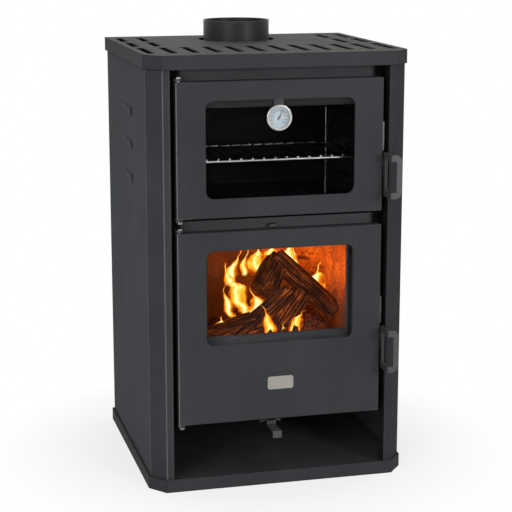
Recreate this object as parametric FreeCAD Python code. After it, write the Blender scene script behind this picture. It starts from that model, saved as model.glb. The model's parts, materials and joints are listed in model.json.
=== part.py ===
import FreeCAD, Part
import math
import os
from collections import namedtuple

# Wood cookstove. Millimetres, x to the right, y to the back, z up.
# The origin is the middle of the footprint on the floor, and the doors face -y.

# Fits and cuts
clear = 0.3                # gap where a piece slides or rests
pin_clear = 0.05           # radial gap of a pin in its hole
overrun = 6.0              # how far a cut runs past the metal

# Casing
width = 520.0
depth = 480.0
height = 850.0
corner_cut_x = 29.0        # front corners, measured along the front
corner_cut_y = 36.0        # front corners, measured along the side
casing_inset = 4.0         # casing behind the edge of the top plate
casing_sheet = 2.0
top_thickness = 3.0
skirt_depth = 27.0
rim_height = 26.0
rim_wall = 3.0
base_sheet = 2.0           # bottom of the base tray
rim_lip = 6.0              # rim above the niche floor
niche_floor_thickness = 3.0
side_panel_lift = 3.0      # light gap under the side panels
side_panel_flange = 20.0   # inward flange that carries the back panel
pillar_reach = 45.0        # from the side of the stove to the pillar's inner edge
pillar_return = 6.6        # strip of the pillar on the side face

# Heat slots and flue hole of the top plate
slot_columns = 12
slot_full_columns = 2      # columns at each side with three rows
slot_width = 15.0
slot_corner = 2.5
slot_edge = 21.3           # from the side edge to the outer slots
slot_front = 53.0          # from the front edge to the first row
slot_lengths = (130.0, 97.0, 95.0)
slot_bridges = (32.0, 28.0)
flue_from_back = 112.0
flue_hole_radius = 79.0

# Gill louvres of the side panels
louvre_count = 3
louvre_drop = 126.0        # from the top plate to the first louvre
louvre_pitch = 66.5
louvre_height = 20.0
louvre_crest = 12.0        # height of the raised mouth
louvre_length = 169.0
louvre_rise = 2.4
louvre_from_pillar = 142.0

# Back panel
vent_rows = 5
vent_pitch = 24.0
vent_length = 300.0
vent_width = 9.0
vent_drop = 120.0
back_screws_per_side = 4
screw_radius = 2.0
screw_head_radius = 4.5
screw_head_height = 2.2
screw_length = 9.0
screw_edge = 10.0          # from the side of the back panel to its screws
screw_end_gap = 60.0       # from the panel's ends to the outer screws

# Doors and front frame
niche_clear = 108.0        # niche floor to the front frame
frame_lip = 6.0            # frame that shows under the firebox door
top_reveal = 23.0          # top skirt to the oven door
oven_door_height = 259.0
crossbar = 28.0            # between the doors
door_gap_left = 11.0
door_gap_right = 13.0
door_depth = 24.0
door_sheet = 3.0
frame_thickness = 4.0
frame_overlap = 10.0       # frame behind the pillars
window_margin = 56.5       # sides of both windows
window_head = 36.5         # door top to window, both doors
oven_window_sill = 36.5
ash_panel_height = 156.0   # firebox door bottom to its window
oven_window_corner = 16.0
firebox_window_corner = 14.0
door_corner = 1.5          # outer corners of the door sheet
glass_thickness = 4.0
glass_overlap = 14.0
oven_seal_depth = 2.0
firebox_seal_depth = 9.0
glass_seal_width = 9.0
glass_seal_setback = 1.0   # seal outside the window's edge
inner_frame_thickness = 3.0
rope_inset = 9.0
rope_width = 10.0
rope_depth = 5.7
seal_land = 1.0            # frame between the rope and a mouth
clip_width = 14.0
clip_foot = 11.0
clip_lip = 8.0
clip_thickness = 2.0
clip_gap = 0.5             # clip foot beside the glass
clip_shares = (0.22, 0.78)     # places of the clips up the glass
badge_width = 52.0
badge_height = 26.0
badge_thickness = 1.6
badge_rim = 4.0
badge_recess = 0.7
badge_corner = 5.0
badge_up = 73.5            # door bottom to the middle of the badge

# Hinges
hinge_in = 7.0             # pin in from the door's left edge
hinge_back = 10.0          # pin behind the door's front
hinge_pin_radius = 4.0
hinge_head_radius = 6.5
hinge_head_height = 3.5
hinge_gap = 2.0            # door to lug
lug_width = 14.0
lug_thickness = 4.0
hinge_engage = 10.0        # pin inside the door

# Handles and keepers
lever_gap = 3.0            # door edge to lever
lever_thickness = 5.0
lever_forward = 45.0       # in front of the door
lever_height = 85.0
lever_wing = 22.0          # bent part across the front
lever_corner = 13.5
lever_bend = 4.0
lever_leg = 12.5
lever_bar = 14.0
lever_web = 9.0            # plate between the finger hole and the door face
lever_hole_corner = 6.0
neck_back = 21.0           # neck behind the door's front
neck_up = 38.0             # neck above the handle's middle
neck_down = 5.0
lever_pin_back = 12.0
lever_pin_up = 20.0
lever_pin_radius = 4.0
lever_pin_shoulder = 6.5
lever_pin_head_radius = 6.0
lever_pin_head = 3.0
lever_pin_tail = 5.0       # pin inside the door
oven_handle_up = 71.5      # door bottom to the handle's middle
firebox_handle_up = 132.0
keeper_up = 44.0           # handle's middle to the keeper
keeper_height = 56.0
keeper_forward = 16.0
keeper_thickness = 4.0

# Inner body
body_side_gap = 72.0       # casing to the body's side walls
body_wall = 4.0
rear_gap = 31.0            # body to the back of the casing
top_gap = 47.0             # body to the top plate
support_width = 40.0
support_in = 14.0          # rear supports in from the body's corner
flue_bore_radius = 65.5
flue_wall = 3.0
flue_stop = 3.0            # ledge under the collar that stops the pipe
flue_rise = 40.0           # collar above the top plate
flue_flange = 16.0
flue_flange_thickness = 4.0

# Oven
oven_side_gap = 14.0       # smoke way beside the oven
oven_depth = 227.0
oven_head = 53.0           # door top to the oven's ceiling
oven_sheet = 2.0
oven_floor_thickness = 4.0
runner_wire_radius = 2.0
runner_end_gap = 10.0
weld = 0.6                 # how far welded wires sink into each other
runner_up = 36.0           # oven floor to the lowest runner
runner_head = 30.0         # highest runner to the ceiling
runner_count = 4
rack_runner = 1            # runner that holds the rack, from the lowest
rack_frame_radius = 2.4
rack_wire_radius = 1.9
rack_wires = 13
rack_side_gap = 4.8
rack_wire_end = 2.0        # wires past the rack's front and back bars
rack_front_gap = 12.0
rack_length = 205.0

# Firebox
hearth_drop = 36.0         # window bottom to the hearth
hearth_thickness = 4.0
mouth_step = 11.0          # fire mouth inside the side bricks
guard_height = 46.0        # hearth to the fire mouth
mouth_rise = 13.5          # window top to the top of the fire mouth
firebox_depth = 222.0
brick_thickness = 28.0
brick_head = 10.0          # top of the bricks under the top of the fire mouth
brick_courses = 2
side_bricks = 2
back_bricks = 3
brick_joint = 0.6
side_brick_start = 32.0    # frame to the side bricks
brick_plate = 4.0
brick_plate_lip = 10.0
grate_hole_width = 160.0
grate_hole_depth = 130.0
grate_hole_start = 62.0
grate_overlap = 10.0
grate_thickness = 6.0
grate_bars = 9
grate_slot = 8.0
grate_border = 16.0
pan_side_gap = 11.0
pan_length = 205.0
pan_height = 70.0
pan_sheet = 1.5
pan_floor_up = 8.0
pan_start = 7.0
pan_pull_width = 80.0
pan_pull_reach = 10.0
pan_pull_drop = 12.0

# Primary air slide
air_x = -11.0
air_plate_width = 40.0
air_plate_length = 98.0
air_plate_start = 4.0      # behind the frame
air_plate_drop = 8.5       # frame bottom to the plate's top
air_thickness = 2.5
air_strip_width = 18.0
air_step = 9.5
air_reach = 45.5           # strip in front of the frame
air_tab = 14.0
air_port_length = 26.0
air_port_width = 24.0
air_port_start = 22.0
air_port_pitch = 30.0      # plate window behind the port, and the travel
rail_sheet = 2.0
rail_lip = 7.0
rail_flange = 6.0

# Secondary air slide
second_x = -10.0
second_tab_width = 14.0
second_tab_height = 5.0
second_tab_reach = 8.0     # in front of the frame
second_up = 3.9            # firebox door top to the tab's middle
second_travel = 20.0
second_slot_gap = 0.8
second_plate_width = 100.0
second_plate_height = 20.0
second_sheet = 2.0
second_rail = 4.0
second_rail_lip = 3.0
second_rail_end = 5.0

# Thermometer
gauge_radius = 25.0
gauge_drop = 36.5          # window top to the middle of the dial
gauge_depth = 7.0
gauge_wall = 1.5
gauge_bezel = 4.5          # width of the ring round the lens
gauge_bezel_depth = 1.4
gauge_bezel_round = 1.2
gauge_bracket_width = 20.0
gauge_bracket_sheet = 2.0
gauge_bracket_rise = 48.0
gauge_bracket_fall = 12.0
dial_thickness = 1.0
lens_thickness = 1.0
needle_gap = 0.4
needle_thickness = 0.6
needle_length = 16.0
needle_tail = 6.0
needle_width = 2.2
needle_hub_radius = 2.6
needle_post_radius = 0.8
needle_angle = 30.0        # degrees to the right of straight up

Vec = FreeCAD.Vector
Door = namedtuple("Door", "low high window_low window_high corner seal_depth mouth_x mouth_low mouth_high")

# Heights, from the floor up
niche_floor_top = rim_height - rim_lip
frame_bottom = niche_floor_top + niche_clear
firebox_low = frame_bottom + frame_lip
top_under = height - top_thickness
skirt_bottom = height - skirt_depth
oven_door_high = skirt_bottom - top_reveal
oven_door_low = oven_door_high - oven_door_height
firebox_high = oven_door_low - crossbar
door_sill = rope_inset + rope_width + seal_land
body_high = top_under - top_gap
floor_top = firebox_low + door_sill
floor_low = floor_top - body_wall
oven_low = oven_door_low + door_sill
oven_high = oven_door_high - oven_head
runner_pitch = (oven_high - runner_head - oven_low - runner_up) / (runner_count - 1)
fire_window_low = firebox_low + ash_panel_height
fire_window_high = firebox_high - window_head
hearth_top = fire_window_low - hearth_drop
hearth_low = hearth_top - hearth_thickness
fire_mouth_low = hearth_top + guard_height
fire_mouth_high = fire_window_high + mouth_rise
brick_course = (fire_mouth_high - brick_head - hearth_top) / brick_courses

# Places across the stove
casing_x = width / 2 - casing_inset
pillar_x = width / 2 - pillar_reach
door_left = -pillar_x + door_gap_left
door_right = pillar_x - door_gap_right
window_left = door_left + window_margin
window_right = door_right - window_margin
door_x = (door_left + door_right) / 2
frame_x = pillar_x + frame_overlap
body_x = casing_x - body_side_gap
body_in_x = body_x - body_wall
oven_x = body_in_x - oven_side_gap
fire_x = body_in_x - brick_thickness - mouth_step
hinge_x = door_left + hinge_in
lever_left = door_right + lever_gap
lever_right = lever_left + lever_thickness

# Places from front to back
casing_front = casing_inset - depth / 2
casing_back = depth / 2 - casing_inset
door_back = casing_front + door_depth
sheet_back = casing_front + door_sheet
rope_back = door_back + rope_depth
frame_front = rope_back + clear
frame_back = frame_front + frame_thickness
body_back = casing_back - rear_gap
body_in_back = body_back - body_wall
oven_back = frame_back + oven_depth
brick_face = frame_back + firebox_depth
brick_back = brick_face + brick_thickness
flue_y = depth / 2 - flue_from_back
hinge_y = casing_front + hinge_back
lever_pin_y = casing_front + lever_pin_back
lever_front = casing_front - lever_forward

oven_door = Door(oven_door_low, oven_door_high, oven_door_low + oven_window_sill,
                 oven_door_high - window_head, oven_window_corner, oven_seal_depth,
                 oven_x, oven_low, oven_high)
firebox_door = Door(firebox_low, firebox_high, fire_window_low, fire_window_high,
                    firebox_window_corner, firebox_seal_depth,
                    fire_x, floor_top, fire_mouth_high)
oven_handle_z = oven_door_low + oven_handle_up
firebox_handle_z = firebox_low + firebox_handle_up


def box(x0, x1, y0, y1, z0, z1):
    """Block between two corners."""
    return Part.makeBox(x1 - x0, y1 - y0, z1 - z0, Vec(x0, y0, z0))


def rod(radius, start, end):
    """Round bar between two points."""
    return Part.makeCylinder(radius, (end - start).Length, start, end - start)


def prism(points, travel):
    """Closed outline pushed along a vector."""
    return Part.Face(Part.makePolygon(points + points[:1])).extrude(travel)


def flat(points, low, high):
    """Outline in plan, pushed up from low to high."""
    return prism([Vec(x, y, low) for x, y in points], Vec(0, 0, high - low))


def joined(shapes):
    """One solid from shapes that overlap or share faces."""
    first = shapes[0]
    if len(shapes) > 1:
        first = first.multiFuse(shapes[1:])
    return first.removeSplitter()


def cut(shape, tools):
    """Shape with every tool taken out of it."""
    return shape.cut(tools)


def mirrored(shape):
    """Twin on the other side of the stove."""
    return shape.mirror(Vec(0, 0, 0), Vec(1, 0, 0))


def rounded(x0, x1, y0, y1, z0, z1, radius):
    """Upright plate across the front, round at its four corners."""
    block = box(x0, x1, y0, y1, z0, z1)
    edges = [edge for edge in block.Edges if edge.BoundBox.YLength > edge.BoundBox.DiagonalLength / 2]
    return block.makeFillet(radius, edges)


def bent_sheet(points, thickness, low, high):
    """Sheet folded along a line in plan, with its thickness to the left of the line."""
    steps = [(b[0] - a[0], b[1] - a[1]) for a, b in zip(points, points[1:])]
    normals = [(-dy / math.hypot(dx, dy), dx / math.hypot(dx, dy)) for dx, dy in steps]
    inner = []
    for place, point in enumerate(points):
        before = normals[max(place - 1, 0)]
        after = normals[min(place, len(normals) - 1)]
        spread = 1 + before[0] * after[0] + before[1] * after[1]
        inner.append((point[0] + thickness * (before[0] + after[0]) / spread,
                      point[1] + thickness * (before[1] + after[1]) / spread))
    return flat(points + inner[::-1], low, high)


def casing_corner(inset):
    """Where the slanted corner leaves the front and meets the side, right-hand side."""
    slant = math.hypot(corner_cut_x, corner_cut_y)
    front_x = width / 2 - corner_cut_x - inset * (slant - corner_cut_x) / corner_cut_y
    side_y = corner_cut_y - depth / 2 + inset * (slant - corner_cut_y) / corner_cut_x
    return front_x, side_y


def footprint(inset):
    """Outline of the stove in plan, moved in by an inset."""
    front_x, side_y = casing_corner(inset)
    side_x = width / 2 - inset
    front_y = inset - depth / 2
    back_y = depth / 2 - inset
    return [(side_x, back_y), (-side_x, back_y), (-side_x, side_y),
            (-front_x, front_y), (front_x, front_y), (side_x, side_y)]


def heat_slot(x, start, length):
    """Oblong cutter through the top plate, with small round corners."""
    block = box(x - slot_width / 2, x + slot_width / 2, start, start + length, top_under - overrun, height + overrun)
    upright = [edge for edge in block.Edges if edge.BoundBox.ZLength > edge.BoundBox.DiagonalLength / 2]
    return block.makeFillet(slot_corner, upright)


def top_plate():
    shell = cut(flat(footprint(0), skirt_bottom, height),
                [flat(footprint(top_thickness), skirt_bottom - overrun, top_under)])
    pitch = (width - 2 * slot_edge) / (slot_columns - 1)
    tools = [rod(flue_hole_radius, Vec(0, flue_y, top_under - overrun), Vec(0, flue_y, height + overrun))]
    for column in range(slot_columns):
        x = slot_edge - width / 2 + column * pitch
        at_side = min(column, slot_columns - 1 - column) < slot_full_columns
        start = slot_front - depth / 2
        tools.append(heat_slot(x, start, slot_lengths[0]))
        if at_side:
            for length, bridge, before in zip(slot_lengths[1:], slot_bridges, slot_lengths):
                start += before + bridge
                tools.append(heat_slot(x, start, length))
    return cut(shell, tools)


def base_skirt():
    return cut(flat(footprint(0), 0, rim_height), [flat(footprint(rim_wall), base_sheet, rim_height + overrun)])


def niche_floor():
    return flat(footprint(rim_wall), niche_floor_top - niche_floor_thickness, niche_floor_top)


def pillar():
    front_x, side_y = casing_corner(casing_inset)
    return bent_sheet([(pillar_x, frame_front), (pillar_x, casing_front), (front_x, casing_front),
                       (casing_x, side_y), (casing_x, side_y + pillar_return)],
                      casing_sheet, niche_floor_top, top_under)


def gill(middle, start, skin_x):
    """Pyramid that lies on the side face: a raised mouth at the front, a point at the back."""
    low = middle - louvre_height / 2
    high = middle + louvre_height / 2
    crest_low = high - louvre_crest
    mouth = [Vec(skin_x, start, low), Vec(skin_x + louvre_rise, start, crest_low),
             Vec(skin_x + louvre_rise, start, high), Vec(skin_x, start, high)]
    tip = Vec(skin_x, start + louvre_length, high)
    faces = [Part.Face(Part.makePolygon(mouth + mouth[:1]))]
    for near, far in zip(mouth, mouth[1:] + mouth[:1]):
        faces.append(Part.Face(Part.makePolygon([near, far, tip, near])))
    return Part.makeSolid(Part.makeShell(faces))


def side_panel():
    seam_y = casing_corner(casing_inset)[1] + pillar_return
    panel = bent_sheet([(casing_x, seam_y), (casing_x, casing_back - casing_sheet),
                        (casing_x - side_panel_flange, casing_back - casing_sheet)],
                       casing_sheet, niche_floor_top + side_panel_lift, top_under)
    start = seam_y + louvre_from_pillar
    middles = [height - louvre_drop - place * louvre_pitch for place in range(louvre_count)]
    panel = joined([panel] + [gill(middle, start, casing_x) for middle in middles])
    hollows = []
    for middle in middles:
        hollow = gill(middle, start, casing_x)
        hollow.translate(Vec(-casing_sheet, -casing_sheet, 0))
        hollows.append(hollow)
    return cut(panel, hollows + [screw_hole(place) for place in back_screw_places() if place.x > 0])


def back_screw_places():
    """Middles of the back panel's screws, on its outer face."""
    low = niche_floor_top + screw_end_gap
    pitch = (top_under - screw_end_gap - low) / (back_screws_per_side - 1)
    x = casing_x - casing_sheet - screw_edge
    return [Vec(side, casing_back, low + place * pitch)
            for side in (-x, x) for place in range(back_screws_per_side)]


def screw_hole(place):
    return rod(screw_radius, place - Vec(0, screw_length + overrun, 0), place + Vec(0, overrun, 0))


def back_panel():
    x = casing_x - casing_sheet
    panel = box(-x, x, casing_back - casing_sheet, casing_back, niche_floor_top, top_under)
    tools = [screw_hole(place) for place in back_screw_places()]
    for row in range(vent_rows):
        middle = height - vent_drop - row * vent_pitch
        tools.append(rounded(-vent_length / 2, vent_length / 2, casing_back - casing_sheet - overrun,
                             casing_back + overrun, middle - vent_width / 2, middle + vent_width / 2,
                             vent_width / 3))
    return cut(panel, tools)


def back_panel_screws():
    screws = []
    for place in back_screw_places():
        head = rod(screw_head_radius, place, place + Vec(0, screw_head_height, 0))
        shank = rod(screw_radius, place - Vec(0, screw_length, 0), place)
        screws.append(joined([head, shank]))
    return Part.makeCompound(screws)


def front_frame():
    plate = box(-frame_x, frame_x, frame_front, frame_back, frame_bottom, top_under)
    near = frame_front - overrun
    far = frame_back + overrun
    slot_z = second_z()
    slot_half = second_tab_height / 2 + second_slot_gap
    slot_left = second_x - second_tab_width / 2 - second_travel - second_slot_gap
    slot_right = second_x + second_tab_width / 2 + second_slot_gap
    return cut(plate, [box(-oven_x, oven_x, near, far, oven_low, oven_high),
                       box(-fire_x, fire_x, near, far, fire_mouth_low, fire_mouth_high),
                       box(-fire_x, fire_x, near, far, floor_top, hearth_low),
                       box(slot_left, slot_right, near, far, slot_z - slot_half, slot_z + slot_half)])


def body_side_walls():
    wall = box(body_in_x, body_x, frame_back, body_back, floor_low, body_high - body_wall)
    return Part.makeCompound([mirrored(wall), wall])


def body_back_wall():
    return box(-body_in_x, body_in_x, body_in_back, body_back, floor_low, body_high - body_wall)


def body_top():
    plate = box(-body_x, body_x, frame_back, body_back, body_high - body_wall, body_high)
    low = Vec(0, flue_y, body_high - body_wall - overrun)
    return cut(plate, [rod(flue_bore_radius - flue_stop, low, Vec(0, flue_y, body_high + overrun))])


def body_floor():
    plate = box(-body_in_x, body_in_x, frame_back, body_in_back, floor_low, floor_top)
    return cut(plate, [air_port(floor_low - overrun, floor_top + overrun)])


def body_rear_supports():
    outer = body_x - support_in
    rear = body_back - support_in
    post = bent_sheet([(outer, rear - support_width), (outer, rear), (outer - support_width, rear)],
                      body_wall, niche_floor_top, floor_low)
    return Part.makeCompound([mirrored(post), post])


def flue_collar():
    low = Vec(0, flue_y, body_high)
    outer = flue_bore_radius + flue_wall
    tube = rod(outer, low, Vec(0, flue_y, height + flue_rise))
    flange = rod(outer + flue_flange, low, low + Vec(0, 0, flue_flange_thickness))
    bore = rod(flue_bore_radius, low - Vec(0, 0, overrun), Vec(0, flue_y, height + flue_rise + overrun))
    return cut(joined([tube, flange]), [bore])


def oven_floor():
    side = oven_x + oven_sheet
    return box(-side, side, frame_back, oven_back + oven_sheet, oven_low - oven_floor_thickness, oven_low)


def oven_ceiling():
    side = oven_x + oven_sheet
    return box(-side, side, frame_back, oven_back + oven_sheet, oven_high, oven_high + oven_sheet)


def oven_side_walls():
    wall = box(oven_x, oven_x + oven_sheet, frame_back, oven_back + oven_sheet, oven_low, oven_high)
    return Part.makeCompound([mirrored(wall), wall])


def oven_back_wall():
    return box(-oven_x, oven_x, oven_back, oven_back + oven_sheet, oven_low, oven_high)


def runner_height(place):
    return oven_low + runner_up + place * runner_pitch


def oven_runners():
    """Wire ladder on each side wall: two uprights and the wires that carry the rack."""
    radius = runner_wire_radius
    upright_x = oven_x - clear - radius
    wire_x = upright_x - 2 * radius + weld
    near = frame_back + runner_end_gap
    far = oven_back - runner_end_gap
    wires = [rod(radius, Vec(upright_x, y, oven_low), Vec(upright_x, y, oven_high)) for y in (near, far)]
    for place in range(runner_count):
        z = runner_height(place)
        wires.append(rod(radius, Vec(wire_x, near - radius, z), Vec(wire_x, far + radius, z)))
    ladder = joined(wires)
    return Part.makeCompound([mirrored(ladder), ladder])


def oven_rack():
    """Wire rack: a round frame with thinner wires laid across it from front to back."""
    z = runner_height(rack_runner) + runner_wire_radius + clear + rack_frame_radius
    side = oven_x - rack_side_gap - rack_frame_radius
    front = frame_back + rack_front_gap
    back = front + rack_length
    ends = [(-side, front), (side, front), (side, back), (-side, back)]
    bars = []
    for start, end in zip(ends, ends[1:] + ends[:1]):
        bars.append(rod(rack_frame_radius, Vec(*start, z), Vec(*end, z)))
        bars.append(Part.makeSphere(rack_frame_radius, Vec(*start, z)))
    wire_z = z + rack_frame_radius + rack_wire_radius - weld
    pitch = 2 * side / (rack_wires + 1)
    for wire in range(rack_wires):
        x = pitch * (wire + 1) - side
        bars.append(rod(rack_wire_radius, Vec(x, front - rack_wire_end, wire_z), Vec(x, back + rack_wire_end, wire_z)))
    return joined(bars)


def hearth_plate():
    plate = box(-body_in_x, body_in_x, frame_back, body_in_back, hearth_low, hearth_top)
    start = frame_back + grate_hole_start
    return cut(plate, [box(-grate_hole_width / 2, grate_hole_width / 2, start, start + grate_hole_depth,
                           hearth_low - overrun, hearth_top + overrun)])


def fire_grate():
    """Cast grate that covers the hole in the hearth, with bars from front to back."""
    half = grate_hole_width / 2 + grate_overlap
    start = frame_back + grate_hole_start - grate_overlap
    end = start + grate_hole_depth + 2 * grate_overlap
    plate = box(-half, half, start, end, hearth_top, hearth_top + grate_thickness)
    pitch = 2 * (half - grate_border) / grate_bars
    slots = []
    for bar in range(grate_bars):
        x = grate_border - half + pitch * (bar + 1 / 2)
        slots.append(box(x - grate_slot / 2, x + grate_slot / 2, start + grate_border, end - grate_border,
                         hearth_top - overrun, hearth_top + grate_thickness + overrun))
    return cut(plate, slots)


def brick_wall(x0, x1, y0, y1, along_x, count):
    """Courses of bricks on the hearth, with thin joints."""
    bricks = []
    for course in range(brick_courses):
        low = hearth_top + course * brick_course
        for place in range(count):
            if along_x:
                left = x0 + place * (x1 - x0) / count
                right = x0 + (place + 1) * (x1 - x0) / count - brick_joint
                brick = box(left, right, y0, y1, low, low + brick_course - brick_joint)
            else:
                near = y0 + place * (y1 - y0) / count
                far = y0 + (place + 1) * (y1 - y0) / count - brick_joint
                brick = box(x0, x1, near, far, low, low + brick_course - brick_joint)
            bricks.append(brick)
    return bricks


def side_firebricks():
    wall = brick_wall(body_in_x - brick_thickness, body_in_x, frame_back + side_brick_start, brick_face,
                      False, side_bricks)
    return Part.makeCompound([mirrored(brick) for brick in wall] + wall)


def back_firebricks():
    return Part.makeCompound(brick_wall(-body_in_x, body_in_x, brick_face, brick_back, True, back_bricks))


def firebrick_plate():
    high = hearth_top + brick_courses * brick_course + brick_plate_lip
    return box(-body_in_x, body_in_x, brick_back, brick_back + brick_plate, hearth_top, high)


def ash_pan():
    """Tray on a raised floor, with a bent pull along its front edge."""
    half = fire_x - pan_side_gap
    front = frame_back + pan_start
    back = front + pan_length
    low = floor_top + clear
    high = low + pan_height
    tray = cut(box(-half, half, front, back, low, high),
               [box(pan_sheet - half, half - pan_sheet, front + pan_sheet, back - pan_sheet,
                    low + pan_floor_up, high + overrun),
                box(pan_sheet - half, half - pan_sheet, front + pan_sheet, back - pan_sheet,
                    low - overrun, low + pan_floor_up - pan_sheet)])
    tip = front - pan_pull_reach
    pull = [box(-pan_pull_width / 2, pan_pull_width / 2, tip, front, high - pan_sheet, high),
            box(-pan_pull_width / 2, pan_pull_width / 2, tip, tip + pan_sheet, high - pan_pull_drop, high)]
    return joined([tray] + pull)


def air_port(low, high):
    """Square way for the primary air, between two heights."""
    start = frame_back + air_port_start
    return box(air_x - air_port_width / 2, air_x + air_port_width / 2, start, start + air_port_length, low, high)


def air_plate_top():
    return frame_bottom - air_plate_drop


def primary_air_box():
    """Duct under the body with two rails that carry the slide."""
    half = air_plate_width / 2 + clear
    near = frame_back + air_plate_start
    far = near + air_plate_length
    top = air_plate_top()
    seat = top - air_thickness - clear
    lip_low = seat - rail_sheet
    outer = half + rail_sheet
    pieces = [box(air_x - outer - rail_flange, air_x + outer + rail_flange, near, far,
                  floor_low - rail_sheet, floor_low)]
    for side in (-1, 1):
        wall = sorted((air_x + side * half, air_x + side * outer))
        lip = sorted((air_x + side * (outer - rail_lip), air_x + side * outer))
        pieces.append(box(*wall, near, far, lip_low, floor_low))
        pieces.append(box(*lip, near, far, lip_low, seat))
    start = frame_back + air_port_start
    pieces.append(box(air_x - air_port_width / 2 - rail_sheet, air_x + air_port_width / 2 + rail_sheet,
                      start - rail_sheet, start + air_port_length + rail_sheet, top + clear, floor_low))
    return cut(joined(pieces), [air_port(top, floor_low + overrun)])


def primary_air_slide():
    """Plate with a window, stepped down to a pull strip with a bent end."""
    top = air_plate_top()
    low = top - air_thickness
    near = frame_back + air_plate_start
    plate = cut(box(air_x - air_plate_width / 2, air_x + air_plate_width / 2, near, near + air_plate_length,
                    low, top),
                [box(air_x - air_port_width / 2, air_x + air_port_width / 2,
                     frame_back + air_port_start + air_port_pitch,
                     frame_back + air_port_start + air_port_pitch + air_port_length,
                     low - overrun, top + overrun)])
    left = air_x - air_strip_width / 2
    right = air_x + air_strip_width / 2
    step_front = frame_front - clear
    strip_low = top - air_step
    tip = frame_front - air_reach
    return joined([plate,
                   box(left, right, step_front, near, low, top),
                   box(left, right, step_front, step_front + air_thickness, strip_low, top),
                   box(left, right, tip, step_front + air_thickness, strip_low, strip_low + air_thickness),
                   box(left, right, tip, tip + air_thickness, strip_low + air_thickness - air_tab,
                       strip_low + air_thickness)])


def second_z():
    return firebox_high + second_up


def secondary_air_guide():
    """Two rails on the back of the frame that hold the slide."""
    middle = second_z()
    half = second_plate_height / 2
    left = second_x - second_plate_width / 2 - second_travel - second_rail_end
    right = second_x + second_plate_width / 2 + second_rail_end
    lip_near = frame_back + second_sheet + 2 * clear
    far = lip_near + second_sheet
    rails = []
    for side in (-1, 1):
        seat = sorted((middle + side * (half + clear), middle + side * (half + clear + second_rail)))
        lip = sorted((middle + side * (half - second_rail_lip), middle + side * (half + clear + second_rail)))
        rails.append(joined([box(left, right, frame_back, far, *seat), box(left, right, lip_near, far, *lip)]))
    return Part.makeCompound(rails)


def secondary_air_slide():
    middle = second_z()
    half = second_plate_height / 2
    near = frame_back + clear
    plate = box(second_x - second_plate_width / 2, second_x + second_plate_width / 2, near, near + second_sheet,
                middle - half, middle + half)
    tab = box(second_x - second_tab_width / 2, second_x + second_tab_width / 2, frame_front - second_tab_reach,
              near, middle - second_tab_height / 2, middle + second_tab_height / 2)
    return joined([plate, tab])


def hinge_ends():
    """Top and bottom of each door: height of the door's edge and the way out of the door."""
    return [(edge, side) for door in (oven_door, firebox_door) for edge, side in ((door.high, 1), (door.low, -1))]


def on_hinge(z):
    return Vec(hinge_x, hinge_y, z)


def hinge_lugs():
    """Plates on the frame, round at the front, that hold the hinge pins."""
    lugs = []
    for edge, side in hinge_ends():
        low, high = sorted((edge + side * hinge_gap, edge + side * (hinge_gap + lug_thickness)))
        tongue = box(hinge_x - lug_width / 2, hinge_x + lug_width / 2, hinge_y, frame_front, low, high)
        nose = rod(lug_width / 2, on_hinge(low), on_hinge(high))
        hole = rod(hinge_pin_radius + pin_clear, on_hinge(low - overrun), on_hinge(high + overrun))
        lugs.append(cut(joined([tongue, nose]), [hole]))
    return Part.makeCompound(lugs)


def hinge_pins():
    pins = []
    for edge, side in hinge_ends():
        seat = edge + side * (hinge_gap + lug_thickness)
        shank = rod(hinge_pin_radius, on_hinge(edge - side * hinge_engage), on_hinge(seat))
        head = rod(hinge_head_radius, on_hinge(seat), on_hinge(seat + side * hinge_head_height))
        pins.append(joined([shank, head]))
    return Part.makeCompound(pins)


def latch_keepers():
    keepers = []
    for middle in (oven_handle_z, firebox_handle_z):
        low = middle + keeper_up
        keepers.append(box(lever_right - keeper_thickness, lever_right, frame_front - keeper_forward, frame_front,
                           low, low + keeper_height))
    return Part.makeCompound(keepers)


def window(door, grow, y0, y1):
    """Window shape of a door, made larger all round by grow."""
    return rounded(window_left - grow, window_right + grow, y0, y1,
                   door.window_low - grow, door.window_high + grow, door.corner + grow)


def door_panel(door, handle_z):
    """Folded door sheet with its window, its hinge holes and the hole for the handle's pin."""
    pan = rounded(door_left, door_right, casing_front, door_back, door.low, door.high, door_corner)
    hollow = box(door_left + door_sheet, door_right - door_sheet, sheet_back, door_back + overrun,
                 door.low + door_sheet, door.high - door_sheet)
    pin_x = door_right - door_sheet
    tools = [hollow, window(door, 0, casing_front - overrun, sheet_back + overrun),
             rod(lever_pin_radius + pin_clear, lever_axis(pin_x - overrun, handle_z),
                 lever_axis(door_right + overrun, handle_z))]
    for edge, side in ((door.high, 1), (door.low, -1)):
        tools.append(rod(hinge_pin_radius + pin_clear, on_hinge(edge - side * (door_sheet + overrun)),
                         on_hinge(edge + side * overrun)))
    return cut(pan, tools)


def door_inner_frame(door):
    """Plate that closes the back of the door round the mouth."""
    near = door_back - inner_frame_thickness
    plate = box(door_left + door_sheet, door_right - door_sheet, near, door_back,
                door.low + door_sheet, door.high - door_sheet)
    half = door.mouth_x + seal_land
    return cut(plate, [box(-half, half, near - overrun, door_back + overrun,
                           door.mouth_low - seal_land, door.mouth_high + seal_land)])


def door_rope_seal(door):
    def ring(inset, y0, y1):
        return rounded(door_left + inset, door_right - inset, y0, y1, door.low + inset, door.high - inset,
                       rope_inset + 2 * rope_width - inset)
    return cut(ring(rope_inset, door_back, rope_back),
               [ring(rope_inset + rope_width, door_back - overrun, rope_back + overrun)])


def glass_seal(door):
    far = sheet_back + door.seal_depth
    return cut(window(door, glass_seal_setback + glass_seal_width, sheet_back, far),
               [window(door, glass_seal_setback, sheet_back - overrun, far + overrun)])


def door_glass(door):
    near = sheet_back + door.seal_depth
    return window(door, glass_overlap, near, near + glass_thickness)


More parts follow.
